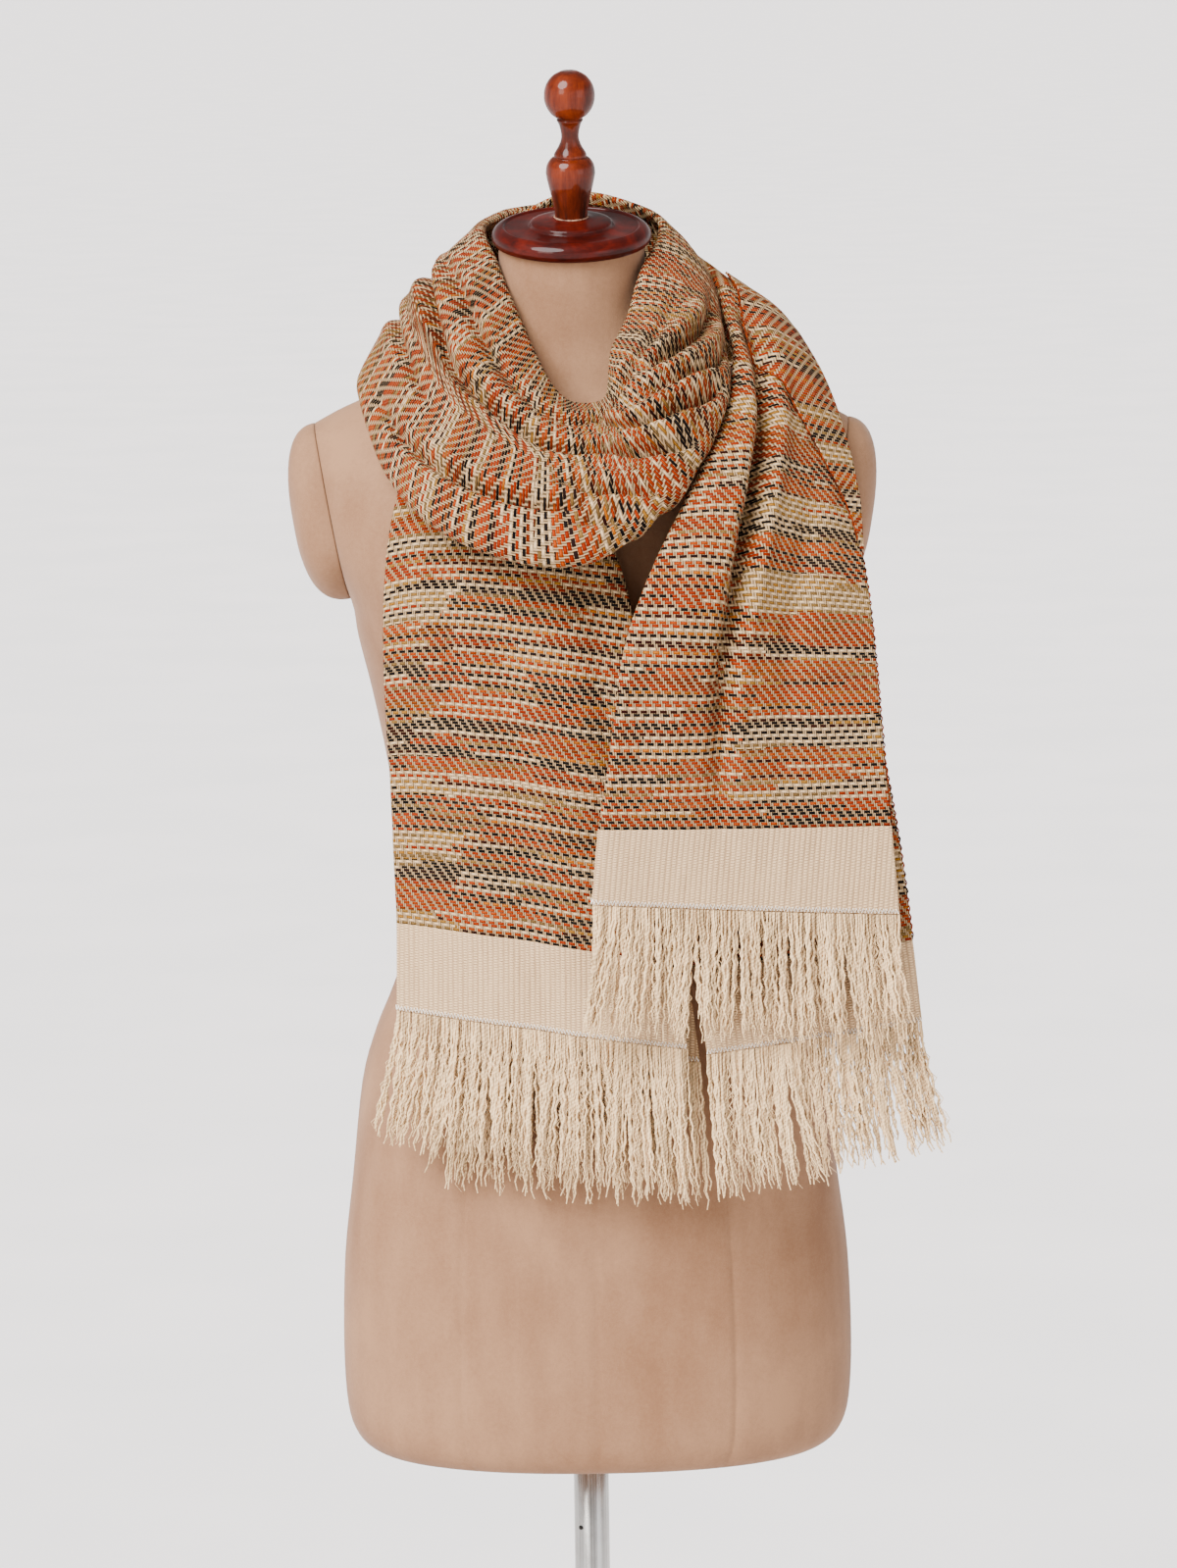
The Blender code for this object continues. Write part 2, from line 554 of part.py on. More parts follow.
def main():
    for old in list(bpy.data.objects):
        bpy.data.objects.remove(old)
    weave = plainMaterial("handwoven_twill", (0.58, 0.27, 0.11), 0.9)
    cream = plainMaterial("cream_plain_weave", (0.78, 0.70, 0.58), 0.9)
    strands = plainMaterial("cream_fringe", (0.80, 0.73, 0.62), 0.9)
    cover = plainMaterial("beige_cover", (0.50, 0.36, 0.27), 0.85)
    wood = plainMaterial("red_brown_wood", (0.25, 0.05, 0.02), 0.25)
    steel = plainMaterial("steel", (0.6, 0.6, 0.6), 0.25, 1.0)

    order = list(WRAP_ROWS)
    cowlStart, cowlEnd = order.index("cowlRise"), order.index("cowlShoulder")
    shoulder, borderTop, hem = (order.index(n) for n in ("shoulderTop", "borderTop", "hem"))
    gap = SEAM_ROWS
    napeTurn = bandPoints(WRAP_ROWS, 0, cowlStart - gap, 15, 14, ends=(1, 1), tucks=(6.0, 8.0))
    clothSheet("nape_turn", napeTurn, weave)
    rolled = dict(acrossCount=WRAP_ACROSS, folds=WRAP_FOLDS, ends=(1, 1))
    clothSheet("cowl", bandPoints(WRAP_ROWS, cowlStart + gap, cowlEnd - gap, 30, **rolled), weave)
    clothSheet("back_turn", bandPoints(WRAP_ROWS, cowlEnd + gap, shoulder - gap, 17, **rolled), weave)
    hanging = dict(acrossCount=WRAP_ACROSS, folds=WRAP_FOLDS, ends=(1, 0), tucks=(20.0, 0.0))
    rightEnd = bandPoints(WRAP_ROWS, shoulder + gap, borderTop - gap / 2, 23, **hanging)
    clothSheet("right_end", rightEnd, weave)
    border = bandPoints(WRAP_ROWS, borderTop + gap / 2, hem, 4, **hanging)
    clothSheet("right_border", border, cream)
    fringeSlab("right", border[-1], strands)
    clothSheet("right_turnback", turnbackPoints(18, 10), weave)

    for side, name, table, folds, ends, rowCount, acrossCount in (
        ("right_back", "right_back_layer", RIGHT_BACK_ROWS, None, (0, 0), 9, 10),
        ("left", "left_end", LEFT_ROWS, LEFT_FOLDS, (1, 0), 17, 14),
        ("left_back", "left_back_layer", LEFT_BACK_ROWS, None, (0, 0), 7, 10),
    ):
        last = len(table) - 1
        shape = dict(acrossCount=acrossCount, folds=folds, ends=ends)
        clothSheet(name, bandPoints(table, 0, last - 1 - gap / 2, rowCount, **shape), weave)
        border = bandPoints(table, last - 1 + gap / 2, last, 4, **shape)
        clothSheet(side + "_border", border, cream)
        fringeSlab(side, border[-1], strands)

    dressForm(cover)
    turned("neck_cap", CAP_PROFILE, wood, CAP_CENTRE, CAP_TILT)
    x, y, z = CAP_CENTRE
    seat = (x, y - math.sin(CAP_TILT) * FINIAL_SEAT, z + math.cos(CAP_TILT) * FINIAL_SEAT)
    turned("finial", FINIAL_PROFILE, wood, seat, CAP_TILT, 28)
    flangeFoot = UNDERSIDE - SEAM_GAP - FLANGE_PROFILE[-1][1]
    turned("pole_flange", FLANGE_PROFILE, steel, (0.0, 0.0, flangeFoot))
    socketFoot = BASE_PROFILE[-1][1] + SEAM_GAP
    poleFoot = socketFoot + SOCKET_PROFILE[-1][1] + SEAM_GAP
    pole = ((POLE_RADIUS, 0.0), (POLE_RADIUS, flangeFoot - SEAM_GAP - poleFoot))
    turned("pole", pole, steel, (0.0, 0.0, poleFoot), segments=32)
    turned("pole_socket", SOCKET_PROFILE, steel, (0.0, 0.0, socketFoot))
    turned("base_plate", BASE_PROFILE, steel, (0.0, 0.0, 0.0), segments=48)


main()
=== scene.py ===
import math
import random
from functools import partial

import bmesh
import bpy
import numpy as np
from mathutils import Matrix, Vector, noise


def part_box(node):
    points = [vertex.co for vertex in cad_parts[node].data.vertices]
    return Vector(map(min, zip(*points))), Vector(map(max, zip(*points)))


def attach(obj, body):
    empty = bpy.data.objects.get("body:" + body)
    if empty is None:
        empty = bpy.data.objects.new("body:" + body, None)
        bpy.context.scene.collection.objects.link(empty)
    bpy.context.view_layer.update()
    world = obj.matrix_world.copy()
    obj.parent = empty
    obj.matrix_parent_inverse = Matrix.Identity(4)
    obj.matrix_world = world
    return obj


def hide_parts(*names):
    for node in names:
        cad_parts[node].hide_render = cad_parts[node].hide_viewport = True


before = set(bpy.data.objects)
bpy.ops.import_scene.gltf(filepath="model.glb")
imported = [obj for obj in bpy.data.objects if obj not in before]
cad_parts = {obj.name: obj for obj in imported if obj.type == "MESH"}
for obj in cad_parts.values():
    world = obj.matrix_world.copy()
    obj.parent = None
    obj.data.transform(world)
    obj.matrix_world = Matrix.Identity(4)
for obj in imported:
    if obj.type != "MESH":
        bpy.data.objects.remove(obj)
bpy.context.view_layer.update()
mm = 0.001

# +X is to the viewer's right, -Y is towards the viewer and +Z is up. Tables are in millimetres and degrees,
# but the view, the studio and the cloth's sizes laid flat are in metres.
view = {
    "target": (0.0049, 0.0, 1.0476), "distance": 3.6, "pitch": 9.0, "roll": 0.83,
    "lens": 124.8, "film": 36.0,  # in millimetres, as on a camera
}


def addObject(name, data):
    made = bpy.data.objects.new(name, data)
    bpy.context.scene.collection.objects.link(made)
    return made


def placeCamera(size):
    # level across but for its roll, and far enough off for the photograph's flat perspective
    pitch = math.radians(size["pitch"])
    target = Vector(size["target"])
    eye = target + size["distance"] * Vector((0.0, -math.cos(pitch), math.sin(pitch)))
    ahead = (target - eye).normalized()
    right = Vector((1.0, 0.0, 0.0))
    turned = Matrix((right, right.cross(ahead), -ahead)).transposed().to_4x4()
    camera = addObject("camera", bpy.data.cameras.new("camera"))
    camera.data.lens = size["lens"]
    camera.data.sensor_fit = "VERTICAL"
    camera.data.sensor_height = size["film"]
    camera.data.clip_end = 1000.0
    roll = Matrix.Rotation(-math.radians(size["roll"]), 4, "Z")
    camera.matrix_world = Matrix.Translation(eye) @ turned @ roll
    bpy.context.scene.camera = camera


placeCamera(view)
print("camera placed")


def linear(hexText):
    # an sRGB hex value as linear light
    channels = [int(hexText[k:k + 2], 16) / 255 for k in (1, 3, 5)]
    return (*[c / 12.92 if c <= 0.04045 else ((c + 0.055) / 1.055) ** 2.4 for c in channels], 1.0)


def toScale(*sizes):
    # a pattern's scale from the size of its parts in millimetres, or three scales from three sizes
    scales = [1 / (size * mm) for size in sizes]
    return scales[0] if len(scales) == 1 else scales


def addNode(tree, kind, inputs=(), out=0, stops=None, **settings):
    # adds one node; its inputs are numbers, colours or other nodes' outputs, in order or by name
    made = tree.nodes.new("ShaderNode" + kind)
    for name, value in settings.items():
        setattr(made, name, value)
    for key, value in inputs.items() if isinstance(inputs, dict) else enumerate(inputs):
        if isinstance(value, bpy.types.NodeSocket):
            tree.links.new(value, made.inputs[key])
        else:
            made.inputs[key].default_value = value
    if stops:
        ends = made.color_ramp.elements
        ends[0].position, ends[1].position = stops[0][0], stops[-1][0]
        ends[0].color, ends[1].color = linear(stops[0][1]), linear(stops[-1][1])
        for place, hexText in stops[1:-1]:
            ends.new(place).color = linear(hexText)
    return made.outputs[out] if out is not None else made.outputs


def startMaterial(name, finish):
    # a Principled BSDF whose fixed values stand on its own sockets, and addNode for its tree
    made = bpy.data.materials.new(name)
    made.use_nodes = True
    for socket, value in finish.items():
        made.node_tree.nodes["Principled BSDF"].inputs[socket].default_value = value
    return made, partial(addNode, made.node_tree)


def layered(add, tone, *patterns):
    # a tone with a share of each further pattern laid over it
    for pattern, share in patterns:
        tone = add("Math", (pattern, share, tone), operation="MULTIPLY_ADD")
    return tone


def closeMaterial(made, links, height=None, relief=0.0, strength=1.0):
    # links the shader's sockets, and bumps it by a height whose relief is in millimetres
    tree = made.node_tree
    if height:
        bump = {"Height": height, "Distance": relief * mm, "Strength": strength}
        links = {**links, "Normal": addNode(tree, "Bump", bump)}
    for socket, source in links.items():
        tree.links.new(source, tree.nodes["Principled BSDF"].inputs[socket])
    return made


# A pattern's sizes are the real one's, in millimetres, but fibres, pile, pores and brushed lines are too fine
# to show and are drawn just coarse enough.

# Handwoven wool: a broken twill of cream warp and space-dyed weft, matt and a little hairy. The yarns wander
# over stretches of "sway", a weft keeps one dye for about "dyeRun", and single fibres show every "fibre".
twill = {
    "end": 1.5, "pick": 2.0, "reach": 0.355, "relief": 0.9,
    "wander": 0.5, "sway": 26.3, "dyeRun": 42.0, "fibre": 1.11,
    "warp": "#C8A57A", "cream": "#CDAC82",
    "orange": ((0.0, "#741A01"), (0.28, "#8A2701"), (0.52, "#983A01"), (0.72, "#520E02"), (0.86, "#A45602")),
    "dark": ((0.0, "#060405"), (0.45, "#0C090A"), (0.75, "#161211"), (0.9, "#240704")),
    "gold": ((0.0, "#5E4626"), (0.4, "#75572C"), (0.75, "#8A5C1C")),
    # the chances of orange, dark and gold in the repeat: what its first and second pick add to the least
    "repeat": ((0.06, 0.68, 0.22), (0.74, 0.0, 0.10), (0.0, 0.04, 0.16)),
    "finish": {"Roughness": 0.9, "Specular IOR Level": 0.05},
}


def fromMiddle(add, counted):
    # how far a counted place lies from the middle of its cell, from 0 to 0.5
    part = add("Math", (counted,), operation="FRACT")
    part = add("Math", (part, 0.5), operation="SUBTRACT")
    return add("Math", (part,), operation="ABSOLUTE")


def twillYarns(add, across, up, size):
    # each weft floats over nearly three ends of every four, and steps one end aside at each pick
    end = add("Math", (across, toScale(size["end"])), operation="MULTIPLY")
    along = add("Math", (up, toScale(size["pick"])), operation="MULTIPLY")
    pick = add("Math", (along,), operation="FLOOR")
    step = add("Math", (end, pick), operation="SUBTRACT")
    step = add("Math", (step, 0.25), operation="MULTIPLY")
    fromFloat, fromPick, fromEnd = (fromMiddle(add, counted) for counted in (step, along, end))
    reach = size["reach"]
    over = add("MapRange", (fromFloat, reach + 0.04, reach - 0.05, 0.0, 1.0), interpolation_type="SMOOTHSTEP")
    body = add("MapRange", (fromPick, 0.48, 0.41, 0.0, 1.0), interpolation_type="SMOOTHSTEP")
    dash = add("Math", (over, body), operation="MULTIPLY")

    # the yarns' round backs
    backs = []
    for counted, low, high in ((fromPick, 0.5, 1.0), (fromFloat, reach + 0.06, 1.0), (fromEnd, 0.5, 0.62)):
        backs.append(add("MapRange", (counted, low, 0.0, 0.0, high), interpolation_type="SMOOTHERSTEP"))
    weftBack = add("Math", (backs[0], backs[1]), operation="MULTIPLY")
    weftBack = add("Math", (weftBack, 0.78, 0.22), operation="MULTIPLY_ADD")
    height = add("Mix", {0: dash, 2: backs[2], 3: weftBack}, data_type="FLOAT")
    return pick, dash, height


def dyeLimits(add, pick, size):
    # the chances of orange, of orange or dark, and of orange, dark or gold, at each pick
    mix = add("Attribute", attribute_name="yarnMix", out=None)
    shares = add("SeparateColor", (mix["Color"],), out=None)

    # the cloth says how much of it repeats every three picks as dark, orange and cream
    unit = add("Math", (pick, 3.0), operation="FLOORED_MODULO")
    first = add("Math", (unit, 0.0, 0.1), operation="COMPARE")
    second = add("Math", (unit, 1.0, 0.1), operation="COMPARE")
    group = add("Math", (pick, 1 / 3), operation="MULTIPLY")
    group = add("Math", (group,), operation="FLOOR")
    groupDraw = add("TexWhiteNoise", {"W": group}, noise_dimensions="1D")
    patterned = add("Math", (groupDraw, mix["Alpha"]), operation="LESS_THAN")

    # elsewhere the cream wefts fall on every other pick, as far as their share goes
    total = add("Math", (shares[0], shares[1]), operation="ADD")
    total = add("Math", (total, shares[2]), operation="ADD")
    doubled = add("Math", (total, 2.0), operation="MULTIPLY")
    onEven = add("Math", (doubled, 1.0), operation="MINIMUM")
    onOdd = add("Math", (doubled, onEven), operation="SUBTRACT")
    odd = add("Math", (pick, 2.0), operation="FLOORED_MODULO")
    dyed = add("Mix", {0: odd, 2: onEven, 3: onOdd}, data_type="FLOAT")
    dyed = add("Math", (dyed, total), operation="DIVIDE")
    limit, limits = 0.0, []
    for share, (atFirst, atSecond, least) in zip(shares, size["repeat"]):
        share = add("Math", (share, dyed), operation="MULTIPLY")
        inUnit = add("Math", (first, atFirst, least), operation="MULTIPLY_ADD")
        inUnit = add("Math", (second, atSecond, inUnit), operation="MULTIPLY_ADD")
        chosen = add("Mix", {0: patterned, 2: share, 3: inUnit}, data_type="FLOAT")
        limit = add("Math", (chosen, limit), operation="ADD")
        limits.append(limit)
    return limits


def weftColour(add, across, pick, size):
    # each weft changes its dye along its run, and draws its family and its tint at random
    offset = add("TexWhiteNoise", {"W": pick}, noise_dimensions="1D")
    run = add("Math", (across, toScale(size["dyeRun"])), operation="MULTIPLY")
    run = add("Math", (offset, 9.0, run), operation="MULTIPLY_ADD")
    run = add("Math", (run,), operation="FLOOR")
    where = add("CombineXYZ", (pick, run))
    draw = add("TexWhiteNoise", {"Vector": where}, out=None, noise_dimensions="2D")
    tints = add("SeparateColor", (draw["Color"],), out=None)
    limits = dyeLimits(add, pick, size)
    colour = linear(size["cream"])
    for number, family in ((2, "gold"), (1, "dark"), (0, "orange")):
        shade = add("ValToRGB", (tints[number],), stops=size[family])
        chosen = add("Math", (draw["Value"], limits[number]), operation="LESS_THAN")
        colour = add("Mix", {0: chosen, 6: colour, 7: shade}, out=2, data_type="RGBA")
    return colour


def wovenWool(name, size):
    made, add = startMaterial(name, size["finish"])
    place = add("UVMap", uv_map="flat")
    sway = add("TexNoise", {"Vector": place, "Scale": toScale(size["sway"]), "Detail": 2.0}, out=1)
    shift = add("VectorMath", (sway, (0.5, 0.5, 0.5)), operation="SUBTRACT")
    shift = add("VectorMath", {0: shift, "Scale": size["wander"] * 2 * mm}, operation="SCALE")
    place = add("VectorMath", (place, shift), operation="ADD")
    across, up, _ = add("SeparateXYZ", (place,), out=None)
    pick, dash, height = twillYarns(add, across, up, size)
    colour = weftColour(add, across, pick, size)
    colour = add("Mix", {0: dash, 6: linear(size["warp"]), 7: colour}, out=2, data_type="RGBA")

    # painted shade: the colour darkens in the gaps between yarns, where the yarns' backs fall low, and single
    # fibres lighten and darken it
    fibre = {"Vector": place, "Scale": toScale(size["fibre"]), "Detail": 3.0, "Roughness": 0.7}
    fibre = add("TexNoise", fibre)
    depth = add("MapRange", (height, 0.0, 0.8, 0.14, 1.0))
    fibreShade = add("MapRange", (fibre, 0.25, 0.75, 0.84, 1.1))
    depth = add("Math", (depth, fibreShade), operation="MULTIPLY")
    colour = add("VectorMath", {0: colour, "Scale": depth}, operation="SCALE")
    rough = layered(add, height, (fibre, 0.25))
    return closeMaterial(made, {"Base Color": colour}, rough, size["relief"], 0.9)


# undyed cream wool in a close ribbed plain weave: matt, with short upright streaks and shaded hollows
rib = {
    "column": 3.4, "row": 1.75, "relief": 0.8, "streak": (2.38, 55.6, 1000.0), "fibre": 1.43,
    "light": "#CDAC84", "shade": "#84664A",
    "finish": {"Roughness": 0.92, "Specular IOR Level": 0.1, "Sheen Weight": 0.02, "Sheen Roughness": 0.5},
}


def ribbedWool(name, size):
    made, add = startMaterial(name, size["finish"])
    place = add("UVMap", uv_map="flat")
    parts = add("SeparateXYZ", (place,), out=None)
    column = add("Math", (parts[0], toScale(size["column"])), operation="MULTIPLY")
    index = add("Math", (column,), operation="FLOOR")
    row = add("Math", (parts[1], toScale(size["row"])), operation="MULTIPLY")
    row = add("Math", (index, 0.5, row), operation="MULTIPLY_ADD")
    height = 1.0
    for counted in (column, row):
        away = fromMiddle(add, counted)
        back = add("MapRange", (away, 0.5, 0.1, 0.0, 1.0), interpolation_type="SMOOTHSTEP")
        height = add("Math", (back, height), operation="MULTIPLY")
    streakPlace = add("Mapping", {"Vector": place, "Scale": toScale(*size["streak"])})
    streak = add("TexNoise", {"Vector": streakPlace, "Scale": 1.0, "Detail": 3.0})
    fibre = add("TexNoise", {"Vector": place, "Scale": toScale(size["fibre"]), "Detail": 3.0})
    tone = layered(add, -0.06, (streak, 0.5), (height, 0.62), (fibre, 0.3))
    colour = add("ValToRGB", (tone,), stops=((0.15, size["shade"]), (0.75, size["light"])))
    rough = layered(add, height, (fibre, 0.3))
    return closeMaterial(made, {"Base Color": colour}, rough, size["relief"], 0.8)


# plied wool yarn: matt, fluffy, and no two strands quite the same cream
yarn = {
    "light": "#DCBB8E", "shade": "#8E7250", "ply": 2.2, "slant": 0.6, "relief": 0.25,
    "strand": (3.85, 3.85, 71.4), "fibre": 0.714,
    "finish": {"Roughness": 0.95, "Specular IOR Level": 0.1, "Sheen Weight": 0.08, "Sheen Roughness": 0.5},
}


def pliedYarn(name, size):
    made, add = startMaterial(name, size["finish"])
    place = add("TexCoord", out=3)
    strand = add("Mapping", {"Vector": place, "Scale": toScale(*size["strand"])})
    strandTone = add("TexNoise", {"Vector": strand, "Scale": 1.0, "Detail": 2.0})
    slant = add("Mapping", {"Vector": place, "Rotation": (0.0, size["slant"], 0.0)})
    wave = {"Vector": slant, "Scale": toScale(size["ply"]) / math.pi, "Distortion": 2.0, "Detail": 2.0}
    plies = add("TexWave", wave, bands_direction="Z")
    fibre = add("TexNoise", {"Vector": place, "Scale": toScale(size["fibre"]), "Detail": 3.0})
    # painted shade: the grooves between the plies darken the colour, beside each strand's own tone and the
    # fibres
    tone = layered(add, strandTone, (plies, 0.22), (fibre, 0.25))
    colour = add("ValToRGB", (tone,), stops=((0.38, size["shade"]), (0.82, size["light"])))
    rough = layered(add, plies, (fibre, 0.5))
    return closeMaterial(made, {"Base Color": colour}, rough, size["relief"], 0.7)


# cotton velour, brushed one way: soft, with marks where the nap has been stroked
velour = {
    "light": "#815F46", "shade": "#74523A", "worn": "#8A674C", "nap": 0.25,
    "marks": 111.0, "stroke": (16.7, 16.7, 62.5), "clump": 2.63, "pile": 0.769,
    "finish": {"Roughness": 0.85, "Specular IOR Level": 0.15, "Sheen Weight": 0.08, "Sheen Roughness": 0.4},
}


def brushedVelour(name, size):
    made, add = startMaterial(name, size["finish"])
    place = add("TexCoord", out=3)
    marks = {"Vector": place, "Scale": toScale(size["marks"]), "Detail": 4.0, "Distortion": 0.6}
    marks = add("TexNoise", marks)
    stroke = add("Mapping", {"Vector": place, "Scale": toScale(*size["stroke"])})
    strokes = add("TexNoise", {"Vector": stroke, "Scale": 1.0, "Detail": 4.0})
    pile = add("TexNoise", {"Vector": place, "Scale": toScale(size["pile"]), "Detail": 2.0})
    clump = add("TexNoise", {"Vector": place, "Scale": toScale(size["clump"]), "Detail": 2.0})
    tone = layered(add, marks, (strokes, 0.4), (pile, 0.28), (clump, 0.22))
    tone = add("MapRange", (tone, 0.75, 1.15, 0.0, 1.0))
    stops = ((0.0, size["shade"]), (0.6, size["light"]), (1.0, size["worn"]))
    colour = add("ValToRGB", (tone,), stops=stops)
    rough = layered(add, pile, (clump, 0.8))
    return closeMaterial(made, {"Base Color": colour}, rough, size["nap"], 0.5)


# turned hardwood under stain and a thick gloss lacquer, which keeps sharp highlights
lean = 12.3  # how far the cap and its finial lean forwards, in degrees
poreShare = 9.0  # how many times finer the pores are than the grain
mahogany = {
    "tints": ((0.0, "#1A0302"), (0.5, "#330602"), (1.0, "#4C0D04")),
    "grain": (29.4, 29.4, 11.11), "relief": 0.3,
    "finish": {"Roughness": 0.5, "Specular IOR Level": 0.05, "Coat Weight": 0.2, "Coat Roughness": 0.05},
}
orangeWood = {
    "tints": ((0.0, "#220802"), (0.5, "#4A1504"), (1.0, "#662307")),
    "grain": (11.11, 11.11, 111.0), "relief": 0.3,
    "finish": {"Roughness": 0.45, "Specular IOR Level": 0.05, "Coat Weight": 0.28, "Coat Roughness": 0.04},
}


def lacqueredWood(name, size):
    made, add = startMaterial(name, size["finish"])
    place = add("TexCoord", out=3)
    upright = add("Mapping", {"Vector": place, "Rotation": (-math.radians(lean), 0.0, 0.0)})
    grainPlace = add("Mapping", {"Vector": upright, "Scale": toScale(*size["grain"])})
    grain = add("TexNoise", {"Vector": grainPlace, "Scale": 1.0, "Detail": 5.0, "Distortion": 0.8})
    pore = add("TexNoise", {"Vector": grainPlace, "Scale": poreShare, "Detail": 3.0})
    tone = add("MapRange", (layered(add, grain, (pore, 0.3)), 0.42, 0.88, 0.0, 1.0))
    colour = add("ValToRGB", (tone,), stops=size["tints"])
    return closeMaterial(made, {"Base Color": colour}, grain, size["relief"], 0.15)


# steel: drawn tube with fine lengthwise lines, and a turned plate with fine rings
drawnSteel = {
    "light": "#B9B7B4", "shade": "#8E8B88", "lines": (1.11, 1.11, 167.0), "smear": 25.0, "relief": 0.05,
    "finish": {"Metallic": 1.0, "Roughness": 0.24},
}
turnedSteel = {
    "light": "#A3A19E", "shade": "#7D7A77", "lines": (71.4, 71.4, 1.11), "smear": 25.0, "relief": 0.05,
    "finish": {"Metallic": 1.0, "Roughness": 0.34},
}


def brushedSteel(name, size):
    made, add = startMaterial(name, size["finish"])
    place = add("TexCoord", out=3)
    line = add("Mapping", {"Vector": place, "Scale": toScale(*size["lines"])})
    lines = add("TexNoise", {"Vector": line, "Scale": 1.0, "Detail": 3.0})
    smear = add("TexNoise", {"Vector": place, "Scale": toScale(size["smear"]), "Detail": 4.0})
    tone = layered(add, lines, (smear, 0.5))
    colour = add("ValToRGB", (tone,), stops=((0.45, size["shade"]), (0.95, size["light"])))
    low = size["finish"]["Roughness"]
    gloss = add("MapRange", (tone, 0.4, 1.0, low * 0.7, low * 1.3))
    return closeMaterial(made, {"Base Color": colour, "Roughness": gloss}, lines, size["relief"], 0.3)


# small finishes and the floor: light and dark speckles, how far apart they lie, and the shader's values
plainFinishes = {
    # bright white thread with a faint gloss
    "polyesterThread": ("#FFFAF2", "#F2E8DC", 1.11, {"Roughness": 0.6}),
    # matt yarn, rust in some stretches and nearly black in others
    "dyedWeftYarn": ("#7E2A06", "#1A0E08", 6.25, {"Roughness": 0.95, "Specular IOR Level": 0.05}),
    # dull brown glue
    "driedGlue": ("#8E6A52", "#4E3024", 1.667, {"Roughness": 0.6}),
    # dark steel with a dull gleam
    "blackedScrew": ("#2A2725", "#12100F", 1.25, {"Roughness": 0.45, "Metallic": 0.8}),
    # pale matt paint, nearly even
    "studioFloor": ("#F5F0EF", "#F0ECEB", 333.0, {"Roughness": 0.95, "Specular IOR Level": 0.1}),
}


def speckled(name, light, shade, apart, finish):
    made, add = startMaterial(name, finish)
    place = add("TexCoord", out=3)
    speck = add("TexNoise", {"Vector": place, "Scale": toScale(apart), "Detail": 3.0})
    colour = add("ValToRGB", (speck,), stops=((0.35, shade), (0.65, light)))
    return closeMaterial(made, {"Base Color": colour})


wool = wovenWool("handwovenWoolTwill", twill)
cream = ribbedWool("creamRibbedWool", rib)
fringeYarn = pliedYarn("creamPliedWool", yarn)
cover = brushedVelour("beigeVelour", velour)
capWood = lacqueredWood("mahoganyLacquer", mahogany)
finialWood = lacqueredWood("orangeLacqueredWood", orangeWood)
poleSteel = brushedSteel("drawnSteel", drawnSteel)
plateSteel = brushedSteel("turnedSteel", turnedSteel)
small = {name: speckled(name, *values) for name, values in plainFinishes.items()}
print("materials made")


def settle(piece, slot, *nodes):
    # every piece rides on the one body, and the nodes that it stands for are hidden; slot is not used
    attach(piece, "root")
    if nodes:
        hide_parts(*nodes)
    return piece


def keepMesh(name, shape, material, sharp=180.0):
    # a bmesh as a finished object, shaded smooth but for edges sharper than an angle
    mesh = bpy.data.meshes.new(name)
    shape.to_mesh(mesh)
    shape.free()
    mesh.materials.append(material)
    mesh.shade_smooth()
    if sharp < 180.0:
        mesh.set_sharp_from_angle(angle=math.radians(sharp))
    return addObject(name, mesh)


def readRows(table, columns):
    # a table's columns as arrays, by name
    rows = table.values() if isinstance(table, dict) else table
    return dict(zip(columns, np.array(list(rows), float).T))


def smooth(knots, values, at):
    # a cubic through values at knots, with each knot's slope from its neighbours
    knots, values, at = (np.asarray(x, float) for x in (knots, values, at))
    slopes = np.gradient(values, knots)
    i = np.clip(np.searchsorted(knots, at, side="right") - 1, 0, len(knots) - 2)
    span = knots[i + 1] - knots[i]
    f = (at - knots[i]) / span
    return (
        (2 * f**3 - 3 * f**2 + 1) * values[i]
        + (f**3 - 2 * f**2 + f) * span * slopes[i]
        + (3 * f**2 - 2 * f**3) * values[i + 1]
        + (f**3 - f**2) * span * slopes[i + 1]
    )


def ease(low, high, at):
    # from 0 at low to 1 at high, level at both
    f = np.clip((np.asarray(at, float) - low) / (high - low), 0.0, 1.0)
    return f * f * (3 - 2 * f)


def lengths(line):
    # how far along a line each of its points lies
    return np.concatenate([[0.0], np.cumsum(np.linalg.norm(np.diff(line, axis=0), axis=1))])


def placeAlong(line, reached, at):
    return np.array([np.interp(at, reached, line[:, c]) for c in range(3)])


def ripples(along, row, apart, seed):
    # soft uneven waves across one section, so many millimetres apart
    return np.array([noise.noise(Vector((d / apart, row, seed))) for d in along])


nearRoll = 0.6  # the near edge is folded tighter than the far edge, by this share
clothWall = 1.7
# small ripples: the share of their height, how far apart they lie, their pace from row to row, and a seed
rippleLook = ((1.0, 26, 1.7, 3.0), (0.5, 9, 3.9, 9.0))
# folds flatten by so much from a share of the width outwards; a lip's middle and breadth, in fold breadths
foldLook = {"flatter": 0.7, "flatFrom": 0.84, "lipAway": 2.2, "lipBreadth": 1.2}
bandColumns = ("ax", "ay", "az", "bx", "by", "bz", "belly", "roll", "bow")

